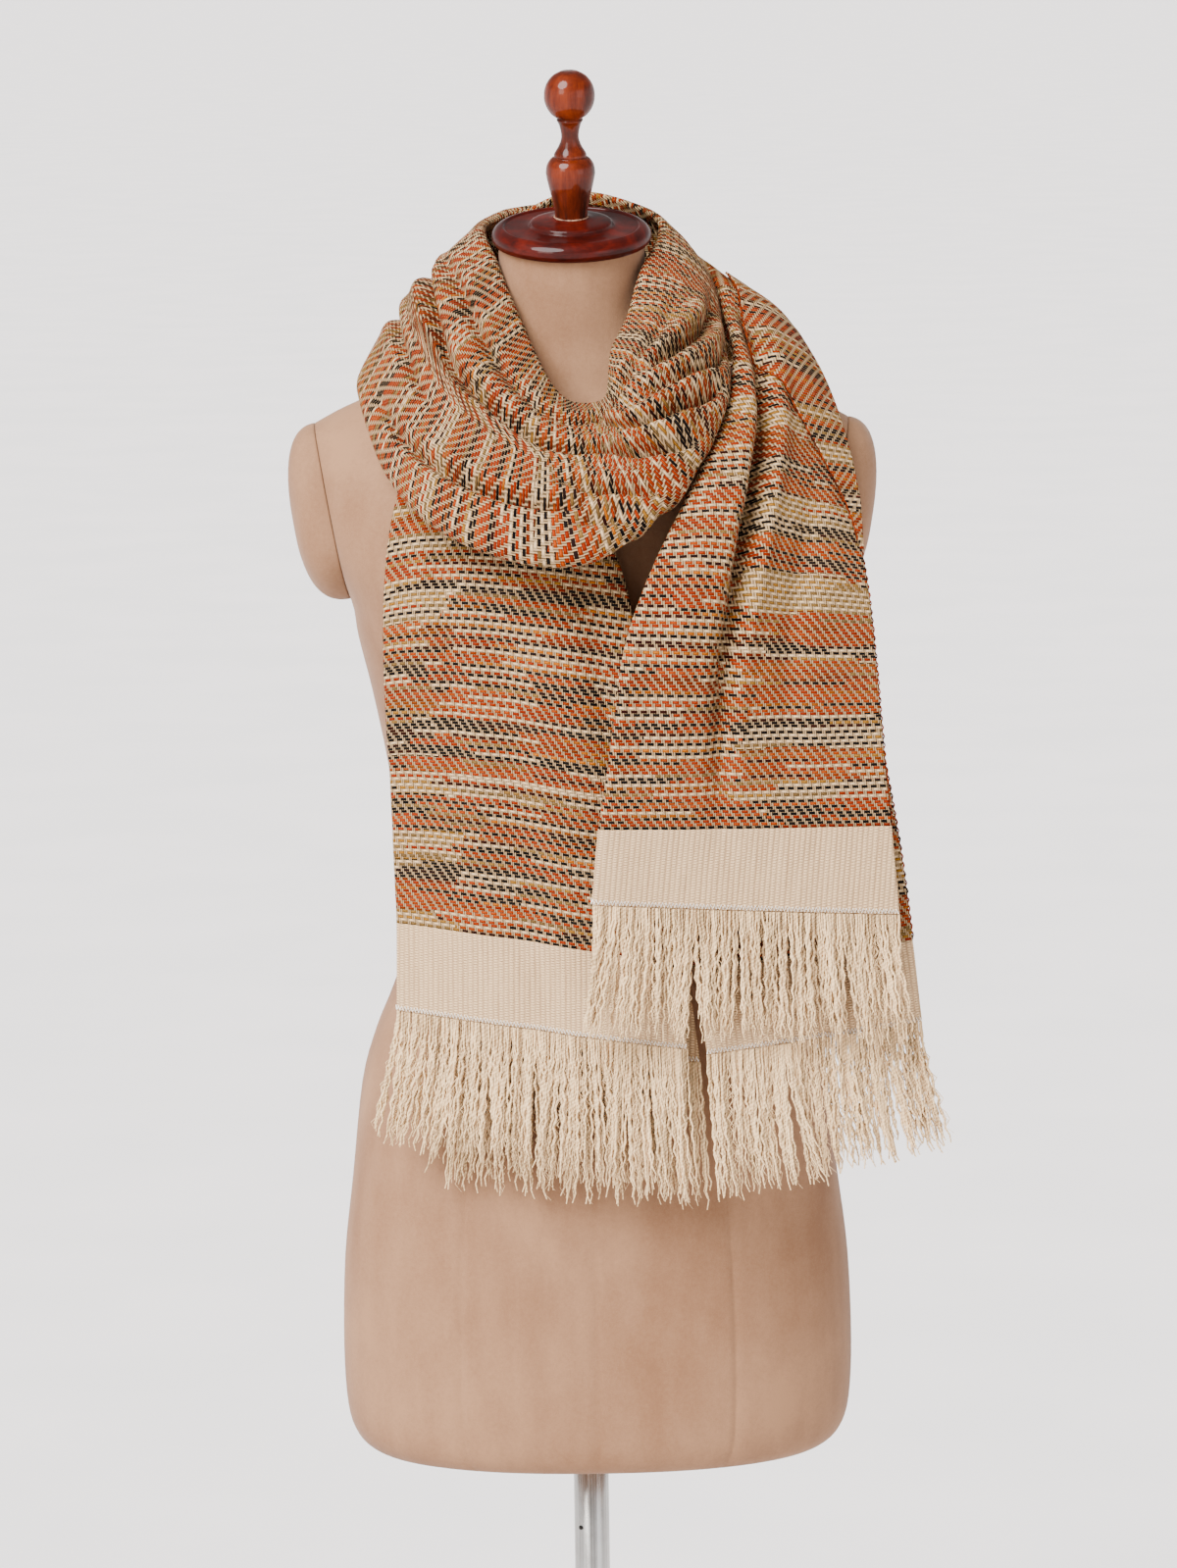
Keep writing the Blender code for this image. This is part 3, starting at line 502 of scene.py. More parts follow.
# Sections straight across the band, from the nape round the front, round the back and down the right side:
# its near edge, its far edge, how far it bellies out of the line between them, the radius of its rolled
# edges, and how far its wefts sag.
wrap = {
    "rows": {
        "hiddenLeft": (-58, 18, 1386, -84, 24, 1348, 4, 3, 0),
        "napeLeft": (-49, 44, 1411, -70, 58, 1350, 5, 3, 0),
        "napeBack": (-2, 62, 1435, -2, 86, 1352, 6, 3, 0),
        "napeRight": (48, 42, 1425, 67, 54, 1362, 6, 3, 0),
        "cowlRise": (59, 10, 1412, 92, 12, 1364, 8, 3.5, 0),
        "cowlRightTop": (46, -38, 1391, 97, -40, 1344, 10, 5, 0),
        "cowlRight": (35, -59, 1363, 99, -96, 1318, 12, 7, 0),
        "cowlRightFront": (23, -74, 1341, 80, -142, 1285, 15, 8, 0),
        "cowlFrontRight": (19, -83, 1312, 46, -172, 1248, 17, 8, 0),
        "cowlFront": (0, -87, 1309, 6, -183, 1223, 19, 8, 0),
        "cowlFrontLeft": (-13, -81, 1318, -40, -178, 1224, 19, 8, 0),
        "cowlLeftFront": (-26, -68, 1341, -88, -150, 1240, 18, 8, 0),
        "cowlLeft": (-40, -48, 1370, -120, -104, 1264, 16, 8, 0),
        "cowlLeftTop": (-52, -26, 1397, -139, -52, 1301, 11, 7, 0),
        "cowlShoulder": (-61, 4, 1414, -143, 2, 1315, 9, 6, 0),
        "backLeft": (-58, 46, 1419, -128, 63, 1298.3, 10, 6, 0),
        "backLeftMid": (-40, 80, 1425, -84, 118, 1286, 12, 8, 0),
        "backMid": (4, 93, 1426, 4, 132, 1276, 12, 8, 0),
        "backRightMid": (48, 84, 1415, 78, 118, 1297, 10, 7, 0),
        "backRight": (80, 54, 1394, 116, 76, 1328, 6, 6, 0),
        "shoulderTop": (95, 14, 1380, 133, 20, 1344, 5, 6, 0),
        "shoulderFront": (101, -24, 1359, 144, -9, 1331, 6, 6, 0),
        "chestTop": (101.5, -60, 1332, 156, -34, 1309, 7, 6, 0),
        "chest": (94, -99, 1299, 167, -58, 1280, 8, 6, 0),
        "chestLow": (76, -138, 1263, 176, -82, 1246, 7, 6, 0),
        "bustTop": (58, -160, 1230, 181, -106, 1213, 6, 6, 0),
        "bust": (43, -171, 1198, 185, -123, 1184, 4, 6, 0),
        "underBust": (30, -175, 1160, 188, -134, 1150, 3, 6, 0),
        "waistHigh": (23, -176, 1116, 191, -140, 1110, 3, 6, 0),
        "waist": (17, -176, 1076, 194, -144, 1072, 3, 6, 0),
        "borderTop": (12, -176, 1046, 197, -146, 1041, 3, 6, 0),
        "hem": (7, -176, 998, 202, -148, 984, 3, 6, 0),
    },
    # by row: how far the near and the far edge are rolled under, from 0 to 1, and how far each runs on behind
    "edges": (
        (0.0, 1.0, 1.0, 6.0, 8.0), (4.0, 1.0, 1.0, 6.0, 8.0), (5.0, 1.0, 1.0, 8.0, 18.0),
        (19.2, 1.0, 1.0, 8.0, 18.0), (20.2, 1.0, 0.0, 16.0, 0.0), (21.5, 1.0, 0.0, 20.0, 0.0),
        (31.0, 1.0, 0.0, 20.0, 0.0),
    ),
    # a fold runs along the band: its half breadth, how much its lips rise, then (row, share across, depth)
    "folds": (
        (4.6, 0.25, ((5.0, 0.35, 0), (6.5, 0.30, 5), (8.5, 0.24, 8), (10.5, 0.24, 7), (13.0, 0.22, 6),
                     (14.5, 0.24, 0))),
        (4.6, 0.2, ((8.6, 0.46, 0), (9.4, 0.45, 10), (10.2, 0.43, 14), (11.0, 0.41, 14), (12.0, 0.43, 13),
                    (13.0, 0.40, 13), (14.0, 0.34, 14), (16.0, 0.36, 10), (18.0, 0.45, 5), (20.0, 0.5, 0))),
        (4.0, 0.3, ((8.4, 0.80, 0), (9.2, 0.77, 8), (10.2, 0.78, 11), (11.2, 0.80, 10), (12.2, 0.84, 6),
                    (13.2, 0.88, 0))),
        (4.0, 0.5, ((5.9, 0.98, 0), (6.3, 0.90, 10), (7.3, 0.68, 14), (8.0, 0.42, 11), (8.7, 0.20, 0))),
        (4.0, 0.5, ((6.7, 1.0, 0), (7.0, 0.95, 10), (7.8, 0.72, 13), (8.5, 0.52, 11), (9.2, 0.46, 4),
                    (9.9, 0.43, 0))),
        (4.0, 0.5, ((7.3, 1.05, 0), (7.6, 1.0, 8), (8.2, 0.85, 11), (8.9, 0.70, 8), (9.6, 0.62, 0))),
        (3.6, 0.5, ((7.9, 1.05, 0), (8.2, 0.98, 7), (8.8, 0.88, 7), (9.4, 0.84, 0))),
        (4.5, 0.5, ((4.6, 0.75, 0), (5.3, 0.70, 8), (6.0, 0.55, 10), (6.8, 0.40, 7), (7.4, 0.25, 0))),
        (3.6, 0.5, ((5.2, 0.95, 0), (5.7, 0.88, 6), (6.3, 0.74, 8), (6.9, 0.58, 6), (7.5, 0.44, 0))),
        (4.4, 0.2, ((11.4, 0.62, 0), (12.2, 0.63, 4), (13.2, 0.62, 7), (14.4, 0.60, 6), (15.4, 0.58, 0))),
        (9.0, 0.3, ((14.5, 0.70, 0), (16.0, 0.72, 7), (18.0, 0.74, 7), (19.5, 0.75, 0))),
        (6.0, 0.3, ((15.2, 0.50, 0), (16.4, 0.53, 4), (17.6, 0.57, 4), (18.6, 0.60, 0))),
        (17.0, 0.0, ((21.0, 0.05, 0), (22.0, 0.08, -4), (24.0, 0.14, -9), (26.0, 0.20, -10), (28.0, 0.22, -6),
                     (30.0, 0.25, -1), (31.0, 0.25, 0))),
        (6.0, 0.35, ((20.5, 0.16, 0), (22.0, 0.24, 8), (23.0, 0.30, 13), (24.0, 0.345, 16), (26.0, 0.39, 13),
                     (28.0, 0.39, 8), (29.4, 0.40, 2), (30.6, 0.41, 0))),
        (9.0, 0.2, ((23.5, 0.72, 0), (24.6, 0.70, 3), (26.0, 0.66, 4), (27.6, 0.64, 3), (29.2, 0.63, 1),
                    (30.2, 0.62, 0))),
    ),
    # how far the wefts slant, by row, and how much cloth the long crease swallows, by row and share
    "slant": ((0.0, 0), (3.0, 4), (4.0, 12), (5.0, 26), (6.0, 38), (7.0, 42), (8.0, 36), (10.0, 20),
              (12.0, 8), (14.0, 2), (16.0, 0), (19.0, 0), (21.0, -14), (24.0, -10), (28.0, 0), (30.0, 0)),
    "slip": ((8.5, 0.46, 0), (9.5, 0.47, 7), (11.0, 0.46, 26), (13.0, 0.45, 52), (14.5, 0.41, 66),
             (16.0, 0.42, 46), (18.0, 0.47, 18), (20.0, 0.51, 0)),
    # rows where the border starts and ends, points along and across, and the height of the small ripples
    "borderTop": 30, "hem": 31, "count": (340, 130), "ripple": 0.8,
    "selvedgeFrom": 21.5,  # the row where the far selvedge comes out in front
}

# the end that hangs under the front turn
leftEnd = {
    "rows": {
        "hidden": (-106, -70.7, 1272, 4, -98, 1270, 3, 3, 0),
        "underCowl": (-113, -86, 1256, 12, -108, 1252, 5, 4, 0),
        "cowlEdge": (-120, -96, 1228, 21, -122, 1226, 8, 5, 4),
        "bustTop": (-124, -106, 1190, 33, -136, 1184, 10, 5, 7),
        "bust": (-125, -110, 1146, 38, -147, 1134, 11, 5, 7),
        "underBust": (-124, -111, 1104, 42, -150, 1090, 12, 5, 7),
        "waistHigh": (-122, -111, 1062, 46, -150, 1046, 12, 5, 6),
        "waist": (-121, -111, 1020, 51, -150, 1002, 12, 5, 5),
        "borderTop": (-120, -111, 976, 56, -150, 956, 12, 5, 3),
        "hem": (-121, -111, 919, 66, -150, 899, 12, 5, 2),
    },
    "edges": ((0.0, 1.0, 0.0, 8.0, 0.0), (9.0, 1.0, 0.0, 8.0, 0.0)),
    "folds": (
        (20.0, 0.0, ((2.0, 0.45, 0), (4.0, 0.50, 4), (7.0, 0.50, 4), (9.0, 0.50, 3))),
        (11.0, 0.0, ((2.0, 0.84, 2), (4.0, 0.86, 5), (6.0, 0.90, 3), (8.0, 0.92, 0))),
        (7.0, 0.3, ((1.6, 0.20, 0), (2.6, 0.24, 2), (4.2, 0.28, 2.5), (6.0, 0.30, 1), (7.0, 0.31, 0))),
    ),
    "borderTop": 8, "hem": 9, "count": (220, 84), "ripple": 0.8,
}

# the rear halves of the two folded ends
rightBack = {
    "rows": {
        "hidden": (62, -161.2, 1150, 178, -127.2, 1148, 3, 0, 0),
        "upper": (54, -160, 1100, 190, -130, 1098, 3, 0, 0),
        "middle": (58, -158, 1030, 202, -129, 1032, 3, 0, 0),
        "borderTop": (70, -158, 953, 211, -129, 964, 3, 0, 0),
        "hem": (78, -158, 897, 217, -126, 910, 3, 0, 0),
    },
    "edges": ((0.0, 0.0, 0.0, 0.0, 0.0), (4.0, 0.0, 0.0, 0.0, 0.0)),
    "folds": ((14.0, 0.0, ((0.0, 0.4, 0), (1.0, 0.45, 1.5), (3.0, 0.5, 2), (4.0, 0.5, 1))),),
    "borderTop": 3, "hem": 4, "count": (110, 72), "ripple": 0.5,
}
leftBack = {
    "rows": {
        "hidden": (-84, -107, 1090, 34, -145, 1082, 10, 0, 0),
        "middle": (-84, -102, 1030, 50, -140, 1010, 10, 0, 0),
        "borderTop": (-86, -100, 952, 66, -138, 944, 10, 0, 0),
        "hem": (-88, -100, 896, 74, -138, 888, 10, 0, 0),
    },
    "edges": ((0.0, 0.0, 0.0, 0.0, 0.0), (3.0, 0.0, 0.0, 0.0, 0.0)),
    "folds": ((14.0, 0.0, ((0.0, 0.5, 0), (1.0, 0.5, 1), (3.0, 0.5, 1))),),
    "borderTop": 2, "hem": 3, "count": (80, 72), "ripple": 0.5,
}


def bandFrame(columns, row):
    # one section of the band: near edge, width, the directions across, out of and along it, and its curves
    index = np.arange(len(columns["ax"]), dtype=float)

    def edge(which, at):
        return np.array([float(smooth(index, columns[which + c], at)) for c in "xyz"])

    near, far = edge("a", row), edge("b", row)
    ahead, behind = min(row + 0.05, index[-1]), max(row - 0.05, index[0])
    onward = edge("a", ahead) + edge("b", ahead) - edge("a", behind) - edge("b", behind)
    onward /= np.linalg.norm(onward)
    width = float(np.linalg.norm(far - near))
    across = (far - near) / width
    outward = np.cross(onward, across)
    outward /= np.linalg.norm(outward)
    rest = {c: float(smooth(index, columns[c], row)) for c in ("belly", "roll", "bow")}
    return dict(near=near, width=width, across=across, outward=outward, onward=onward, **rest)


def surfaceRise(at, row, share, folds):
    # how far the cloth stands out of the line between its edges, with every fold pressed in
    rise = at["belly"] * (1 - (2 * share - 1) ** 2)
    kept = 1 - foldLook["flatter"] * ease(foldLook["flatFrom"], 1.0, share)
    for reach, lip, knots in folds:
        rows, shares, depths = np.array(knots, float).T
        if rows[0] <= row <= rows[-1]:
            away = (share - smooth(rows, shares, row)) * at["width"]
            depth = float(smooth(rows, depths, row))
            rise = rise - kept * depth * np.exp(-((away / reach) ** 2))
            besides = (np.abs(away) / reach - foldLook["lipAway"]) / foldLook["lipBreadth"]
            rise = rise + kept * lip * depth * np.exp(-(besides**2))
    return rise


def sectionProfile(width, near, far, nearTuck, farTuck, count):
    # along and out of a section whose rolled edges turn behind it, and how far each point lies round it
    stops = np.cumsum([0.0, nearTuck, math.pi * near, width - near - far, math.pi * far, farTuck])
    d = np.linspace(0.0, stops[-1], count)
    nearTurn, farTurn = (d - stops[1]) / max(near, 1e-6), (d - stops[3]) / max(far, 1e-6)
    cases = [d < stops[1], d < stops[2], d <= stops[3], d <= stops[4]]
    along = np.select(
        cases,
        [
            near + stops[1] - d, near - near * np.sin(nearTurn), near + d - stops[2],
            width - far + far * np.sin(farTurn),
        ],
        width - far - (d - stops[4]),
    )
    outs = [-2 * near, -near - near * np.cos(nearTurn), 0.0, -far + far * np.cos(farTurn)]
    return along, np.select(cases, outs, -2 * far), d


def bandPoints(size, first, last, rowCount):
    # the cloth's middle surface between two rows, and each point's distance from the section's near end
    columns = readRows(size["rows"], bandColumns)
    edges = np.array(size["edges"]).T
    points = np.zeros((rowCount, size["count"][1], 3))
    rounds = np.zeros(points.shape[:2])
    for k, row in enumerate(np.linspace(first, last, rowCount)):
        at = bandFrame(columns, row)
        nearEnd, farEnd, nearTuck, farTuck = (np.interp(row, edges[0], column) for column in edges[1:])
        turns = (nearRoll * at["roll"] * nearEnd, at["roll"] * farEnd, nearTuck * nearEnd, farTuck)
        along, out, rounds[k] = sectionProfile(at["width"], *turns, size["count"][1])
        share = along / at["width"]
        waves = sum(much * ripples(along, row * pace, apart, seed) for much, apart, pace, seed in rippleLook)
        out = out + surfaceRise(at, row, share, size["folds"]) + size["ripple"] * waves
        bow = at["bow"] * np.sin(math.pi * np.clip(share, 0, 1) ** 0.7)
        for much, way in ((along, "across"), (out, "outward"), (-bow, "onward")):
            points[k] += np.outer(much, at[way])
        points[k] += at["near"]
    return points * mm, rounds * mm


def onCloth(points, rounds, fromFar, rows, slant=None, slip=None):
    # Where each point lies on the flat cloth: across it, and up from the last row. Across counts from the far
    # selvedge inwards, or else down from nothing at the near edge, so that the twill climbs the same way.
    # A slant pulls the far edge's wefts back by so many millimetres, by row. A slip is cloth swallowed by a
    # crease, by row and share: the wefts beyond it lie so much further on.
    steps = np.linalg.norm(np.diff(points, axis=0), axis=2)
    middle = np.median(steps, axis=1)
    reached = np.concatenate([[0.0], np.cumsum(middle)])[:, None] + 0 * rounds
    share = rounds / rounds[:, -1:]
    if slant:
        knots, pulls = np.array(slant, float).T
        reached = reached + (share - 0.5) * smooth(knots, pulls, rows)[:, None] * mm
    if slip:
        knots, shares, slips = np.array(slip, float).T
        beyond = ease(-0.03, 0.03, share - np.interp(rows, knots, shares)[:, None])
        reached = reached + (beyond - 0.5) * np.interp(rows, knots, slips)[:, None] * mm
    across = rounds[:, -1:] - rounds if fromFar else -rounds
    return across, reached[-1:].mean() - reached


def clothSheet(name, points, across, up, material, mix=None, wall=clothWall):
    # a sheet through a grid of points, with its flat place as its UV map and its yarns as an attribute
    rowCount, acrossCount = points.shape[:2]
    sheet = bmesh.new()
    bmesh.ops.create_grid(sheet, x_segments=acrossCount - 1, y_segments=rowCount - 1, size=0.5)
    made = keepMesh(name, sheet, material)
    mesh = made.data
    places = np.zeros(len(mesh.vertices) * 3)
    mesh.vertices.foreach_get("co", places)
    places = places.reshape(-1, 3)
    rows = np.rint((places[:, 1] + 0.5) * (rowCount - 1)).astype(int)
    columns = np.rint((places[:, 0] + 0.5) * (acrossCount - 1)).astype(int)
    mesh.vertices.foreach_set("co", points[rows, columns].ravel())
    corners = np.zeros(len(mesh.loops), int)
    mesh.loops.foreach_get("vertex_index", corners)
    flat = np.stack([across[rows, columns], up[rows, columns]], axis=1)[corners]
    mesh.uv_layers.new(name="flat").data.foreach_set("uv", flat.ravel())
    if mix is not None:
        yarns = mesh.attributes.new("yarnMix", "FLOAT_COLOR", "POINT")
        yarns.data.foreach_set("color", mix[rows, columns].ravel())
    mesh.update()
    thicken = made.modifiers.new("wall", "SOLIDIFY")
    thicken.thickness = wall * mm
    thicken.offset = 0.0
    return made


# what shares of orange, dark and gold each band of weft holds; the rest is cream
mixes = {
    "orange": (0.82, 0.12, 0.05), "ember": (0.54, 0.42, 0.04), "grey": (0.05, 0.66, 0.08),
    "tan": (0.04, 0.06, 0.44), "cream": (0.08, 0.16, 0.28), "gold": (0.22, 0.03, 0.62),
}

# bands of weft up from each border: how wide each is, and its mix
rightBands = (
    (17, "ember"), (13, "tan"), (22, "orange"), (23, "grey"), (34, "orange"), (11, "grey"), (19, "orange"),
    (26, "tan"), (26, "ember"), (9, "grey"), (20, "cream"), (16, "orange"), (12, "grey"), (22, "orange"),
    (14, "tan"),
)
leftBands = (
    (10, "gold"), (22, "orange"), (14, "grey"), (18, "tan"), (24, "ember"), (16, "cream"), (10, "orange"),
    (24, "grey"), (24, "orange"), (16, "grey"), (26, "orange"), (18, "tan"), (10, "grey"), (18, "orange"),
    (12, "cream"),
)
# how far up the bands are drawn at random past the charted ones, which kinds, and how wide, in two turns
randomBands = {
    "length": 2600.0,
    "turns": (((10, 26), ("orange", "orange", "ember")), ((6, 13), ("tan", "grey", "cream", "gold"))),
}


def yarnMix(bands, up, seed):
    # the mix at each height above the border: the charted bands, then more like them at random
    draw = random.Random(seed)
    bands = list(bands)
    while sum(width for width, _ in bands) < randomBands["length"]:
        for widths, kinds in randomBands["turns"]:
            bands.append((draw.uniform(*widths), draw.choice(kinds)))
    tops = np.cumsum([width for width, _ in bands])
    kinds = np.array([mixes[kind] for _, kind in bands])
    return kinds[np.clip(np.searchsorted(tops, up / mm), 0, len(kinds) - 1)]


# how much of the hanging and of the wound cloth repeats every three picks, where that sets in from the far
# selvedge (in millimetres, or as a share of the width), and how far up the one gives way to the other
wrapYarns = {
    "seed": 5, "hanging": 0.85, "hangingFrom": (70, 110), "wound": (0.46, 0.32), "woundFrom": (0.55, 0.8),
    "change": (420, 600),
}


def wrapMix(look, across, up):
    # near the right selvedge the dyes pool into bands; further in, the three-pick repeat takes over
    made = np.ones((*up.shape, 4))
    made[..., :3] = yarnMix(rightBands, up, look["seed"])
    hanging = look["hanging"] * ease(*look["hangingFrom"], across / mm)
    least, more = look["wound"]
    wound = least + more * ease(*look["woundFrom"], across / across[:, :1])
    blend = ease(*look["change"], up / mm)
    made[..., 3] = hanging * (1 - blend) + wound * blend
    return made


def sideMix(side, across, up):
    # the three-pick repeat sets in over a stretch away from the edge that across counts from
    made = np.ones((*up.shape, 4))
    made[..., :3] = yarnMix(side["bands"], up, side["seed"])
    made[..., 3] = side["most"] * ease(*side["repeat"], np.abs(across) / mm)
    return made


def clothPanel(name, size, fromFar, mixOf):
    # the patterned stretch down to the border's top
    points, rounds = bandPoints(size, 0, size["borderTop"], size["count"][0])
    rows = np.linspace(0, size["borderTop"], size["count"][0])
    across, up = onCloth(points, rounds, fromFar, rows, size.get("slant"), size.get("slip"))
    return clothSheet(name, points, across, up, wool, mixOf(across, up)), points


def clothBorder(name, size, rowCount=26):
    points, rounds = bandPoints(size, size["borderTop"], size["hem"], rowCount)
    across, up = onCloth(points, rounds, False, np.linspace(0, 1, rowCount))
    return clothSheet(name, points, across, up, cream), points


shawl, shawlPoints = clothPanel("shawlWrap", wrap, True, partial(wrapMix, wrapYarns))
settle(shawl, "woven_cloth", "nape_turn", "cowl", "back_turn", "right_end")

# the other stretches: their band, whether its far edge is the selvedge, their solid, and their yarns
sides = {
    "shawlLeftEnd": {
        "band": leftEnd, "fromFar": False, "node": "left_end",
        "bands": leftBands, "seed": 8, "repeat": (30, 75), "most": 0.8,
    },
    "shawlRightRear": {
        "band": rightBack, "fromFar": True, "node": "right_back_layer",
        "bands": leftBands, "seed": 12, "repeat": (50, 90), "most": 0.8,
    },
    "shawlLeftRear": {
        "band": leftBack, "fromFar": False, "node": "left_back_layer",
        "bands": rightBands, "seed": 14, "repeat": (30, 80), "most": 0.8,
    },
}
panels = {}
for name, side in sides.items():
    panels[name] = clothPanel(name, side["band"], side["fromFar"], partial(sideMix, side))
    settle(panels[name][0], "woven_cloth", side["node"])
print("shawl woven")

# The right end's own edge, turned back over it: row of the band, how much is turned back, radius of the turn.
# It stands clear of the edge and lifted off the band, less so in the "taper" rows at its ends, and sinks to
# "rest" above what it lies on.
turnback = {
    "rows": (
        (18.0, 10.0, 0.9), (18.4, 30.0, 1.4), (18.8, 42.0, 2.0), (19.4, 50.0, 2.8), (20.0, 54.0, 3.4),
        (20.6, 56.0, 3.8), (21.4, 56.0, 4.0), (22.0, 50.0, 3.8), (22.6, 39.0, 3.4), (23.2, 28.0, 3.0),
        (23.8, 17.0, 2.2), (24.4, 7.0, 1.4), (25.0, 1.0, 0.7),
    ),
    "clearance": 1.6, "lift": 1.0, "taper": 0.9, "rest": 2.6, "margin": 6.0, "wall": 1.5,
    "ripple": 0.5, "rippleLook": (24, 2.3, 5.0),
    "count": (180, 44), "looped": (46, 176),  # points along and across, and which rows of them carry loops
    # its yarns follow the right end's, from so far above the border
    "bands": rightBands, "above": 210.0, "seed": 5, "repeat": (30, 60), "most": 0.5,
}


def turnbackPoints(size):
    columns = readRows(size["rows"], ("row", "reach", "turn"))
    sections = readRows(wrap["rows"], bandColumns)
    points = np.zeros((*size["count"], 3))
    rounds = np.zeros(points.shape[:2])
    first, last = columns["row"][0], columns["row"][-1]
    for k, row in enumerate(np.linspace(first, last, size["count"][0])):
        at = bandFrame(sections, row)
        reach, turn = (float(smooth(columns["row"], columns[c], row)) for c in ("reach", "turn"))
        reach = min(reach, at["width"] - size["margin"])
        inside = float(min(1.0, (row - first) / size["taper"], (last - row) / size["taper"]))
        lift = size["lift"] * inside
        curve = math.pi * turn
        d = np.linspace(0.0, curve + reach, size["count"][1])
        bend = np.minimum(d / turn, math.pi)
        along = at["width"] + size["clearance"] * inside + turn * np.sin(bend) - np.maximum(d - curve, 0.0)
        out = turn - turn * np.cos(bend) + lift * np.minimum(d / curve, 1.0)
        sunk = max(0.0, 2 * turn + lift - size["rest"])
        out = out - sunk * ease(0.0, 1.0, (d - curve) / max(reach, 1.0))
        share = np.clip(along / at["width"], 0.0, 1.0)
        out = out + np.maximum(surfaceRise(at, row, share, wrap["folds"]), 0.0)
        apart, pace, seed = size["rippleLook"]
        out = out + size["ripple"] * np.abs(ripples(d, row * pace, apart, seed))
        points[k] = at["near"] + np.outer(along, at["across"]) + np.outer(out, at["outward"])
        rounds[k] = d
    return points * mm, rounds * mm


turnedPoints, turnedRounds = turnbackPoints(turnback)
turnedRows = np.linspace(turnback["rows"][0][0], turnback["rows"][-1][0], turnback["count"][0])
turnedAcross, turnedUp = onCloth(turnedPoints, turnedRounds, False, turnedRows)
turnedMix = sideMix(turnback, turnedRounds[:, -1:] - turnedRounds, turnedUp + turnback["above"] * mm)
turnedEdge = clothSheet(
    "shawlTurnedEdge", turnedPoints, turnedAcross, turnedUp, wool, turnedMix, turnback["wall"]
)
settle(turnedEdge, "woven_cloth", "right_turnback")

borders = {}
for side, size in (("right", wrap), ("left", leftEnd), ("right_back", rightBack), ("left_back", leftBack)):
    borders[side] = clothBorder(side + "Border", size)
    settle(borders[side][0], "cream_border", side + "_border")
print("borders woven")


def yarnMesh(name, strands, radius, material, sides=0):
    # strands of yarn, each a list of (point in metres, thickness), as one mesh
    curve = bpy.data.curves.new(name, "CURVE")
    curve.dimensions = "3D"
    curve.bevel_depth = radius * mm
    curve.bevel_resolution = sides
    curve.use_fill_caps = True
    for strand in strands:
        spline = curve.splines.new("POLY")
        spline.points.add(len(strand) - 1)
        spline.points.foreach_set("co", [c for p, _ in strand for c in (*p, 1.0)])
        spline.points.foreach_set("radius", [thick for _, thick in strand])
    line = addObject(name, curve)
    bpy.context.view_layer.update()
    mesh = bpy.data.meshes.new_from_object(line.evaluated_get(bpy.context.evaluated_depsgraph_get()))
    bpy.data.objects.remove(line)
    mesh.name = name
    mesh.materials.clear()
    mesh.materials.append(material)
    mesh.shade_smooth()
    return addObject(name, mesh)


# A strand's look. Its root lies up to "depth" before or behind the hem's middle and "seam" under it, and its
# crimp comes in waves. About "clump" strands gather aside and in depth and sway as one, and each also swings.
fringeLook = {
    "radius": 0.8, "crimp": 0.9, "wave": 13.0, "points": 17, "ragged": 0.15, "depth": 2.0, "seam": 0.3,
    "clump": (5.0, 1.4), "gather": (4.2, 1.6), "sway": 1.2, "swing": 1.8, "anyTurn": 6.3,
    "root": 0.75, "tip": 0.55, "uneven": (0.85, 1.12),  # thickness at the root, loss at the tip, unevenness
    "looseShare": 0.2, "looseThick": 0.35, "looseCrimp": 2.6,  # thinner singles that have come untwisted
}
# fringe under each hem: how far it falls and spreads aside at the near and the far edge, how many strands,
# and what share of the hem, rolled under at the near edge, carries none
fringes = {
    "right": {"falls": (81, 79), "spreads": (-6, 8), "count": 380, "seed": 21, "from": 0.12},
    "right_back": {"falls": (92, 78), "spreads": (8, 14), "count": 280, "seed": 22, "from": 0.0},
    "left": {"falls": (82, 96), "spreads": (-12, 6), "count": 370, "seed": 23, "from": 0.06},
    "left_back": {"falls": (90, 90), "spreads": (-6, 4), "count": 220, "seed": 24, "from": 0.0},
}


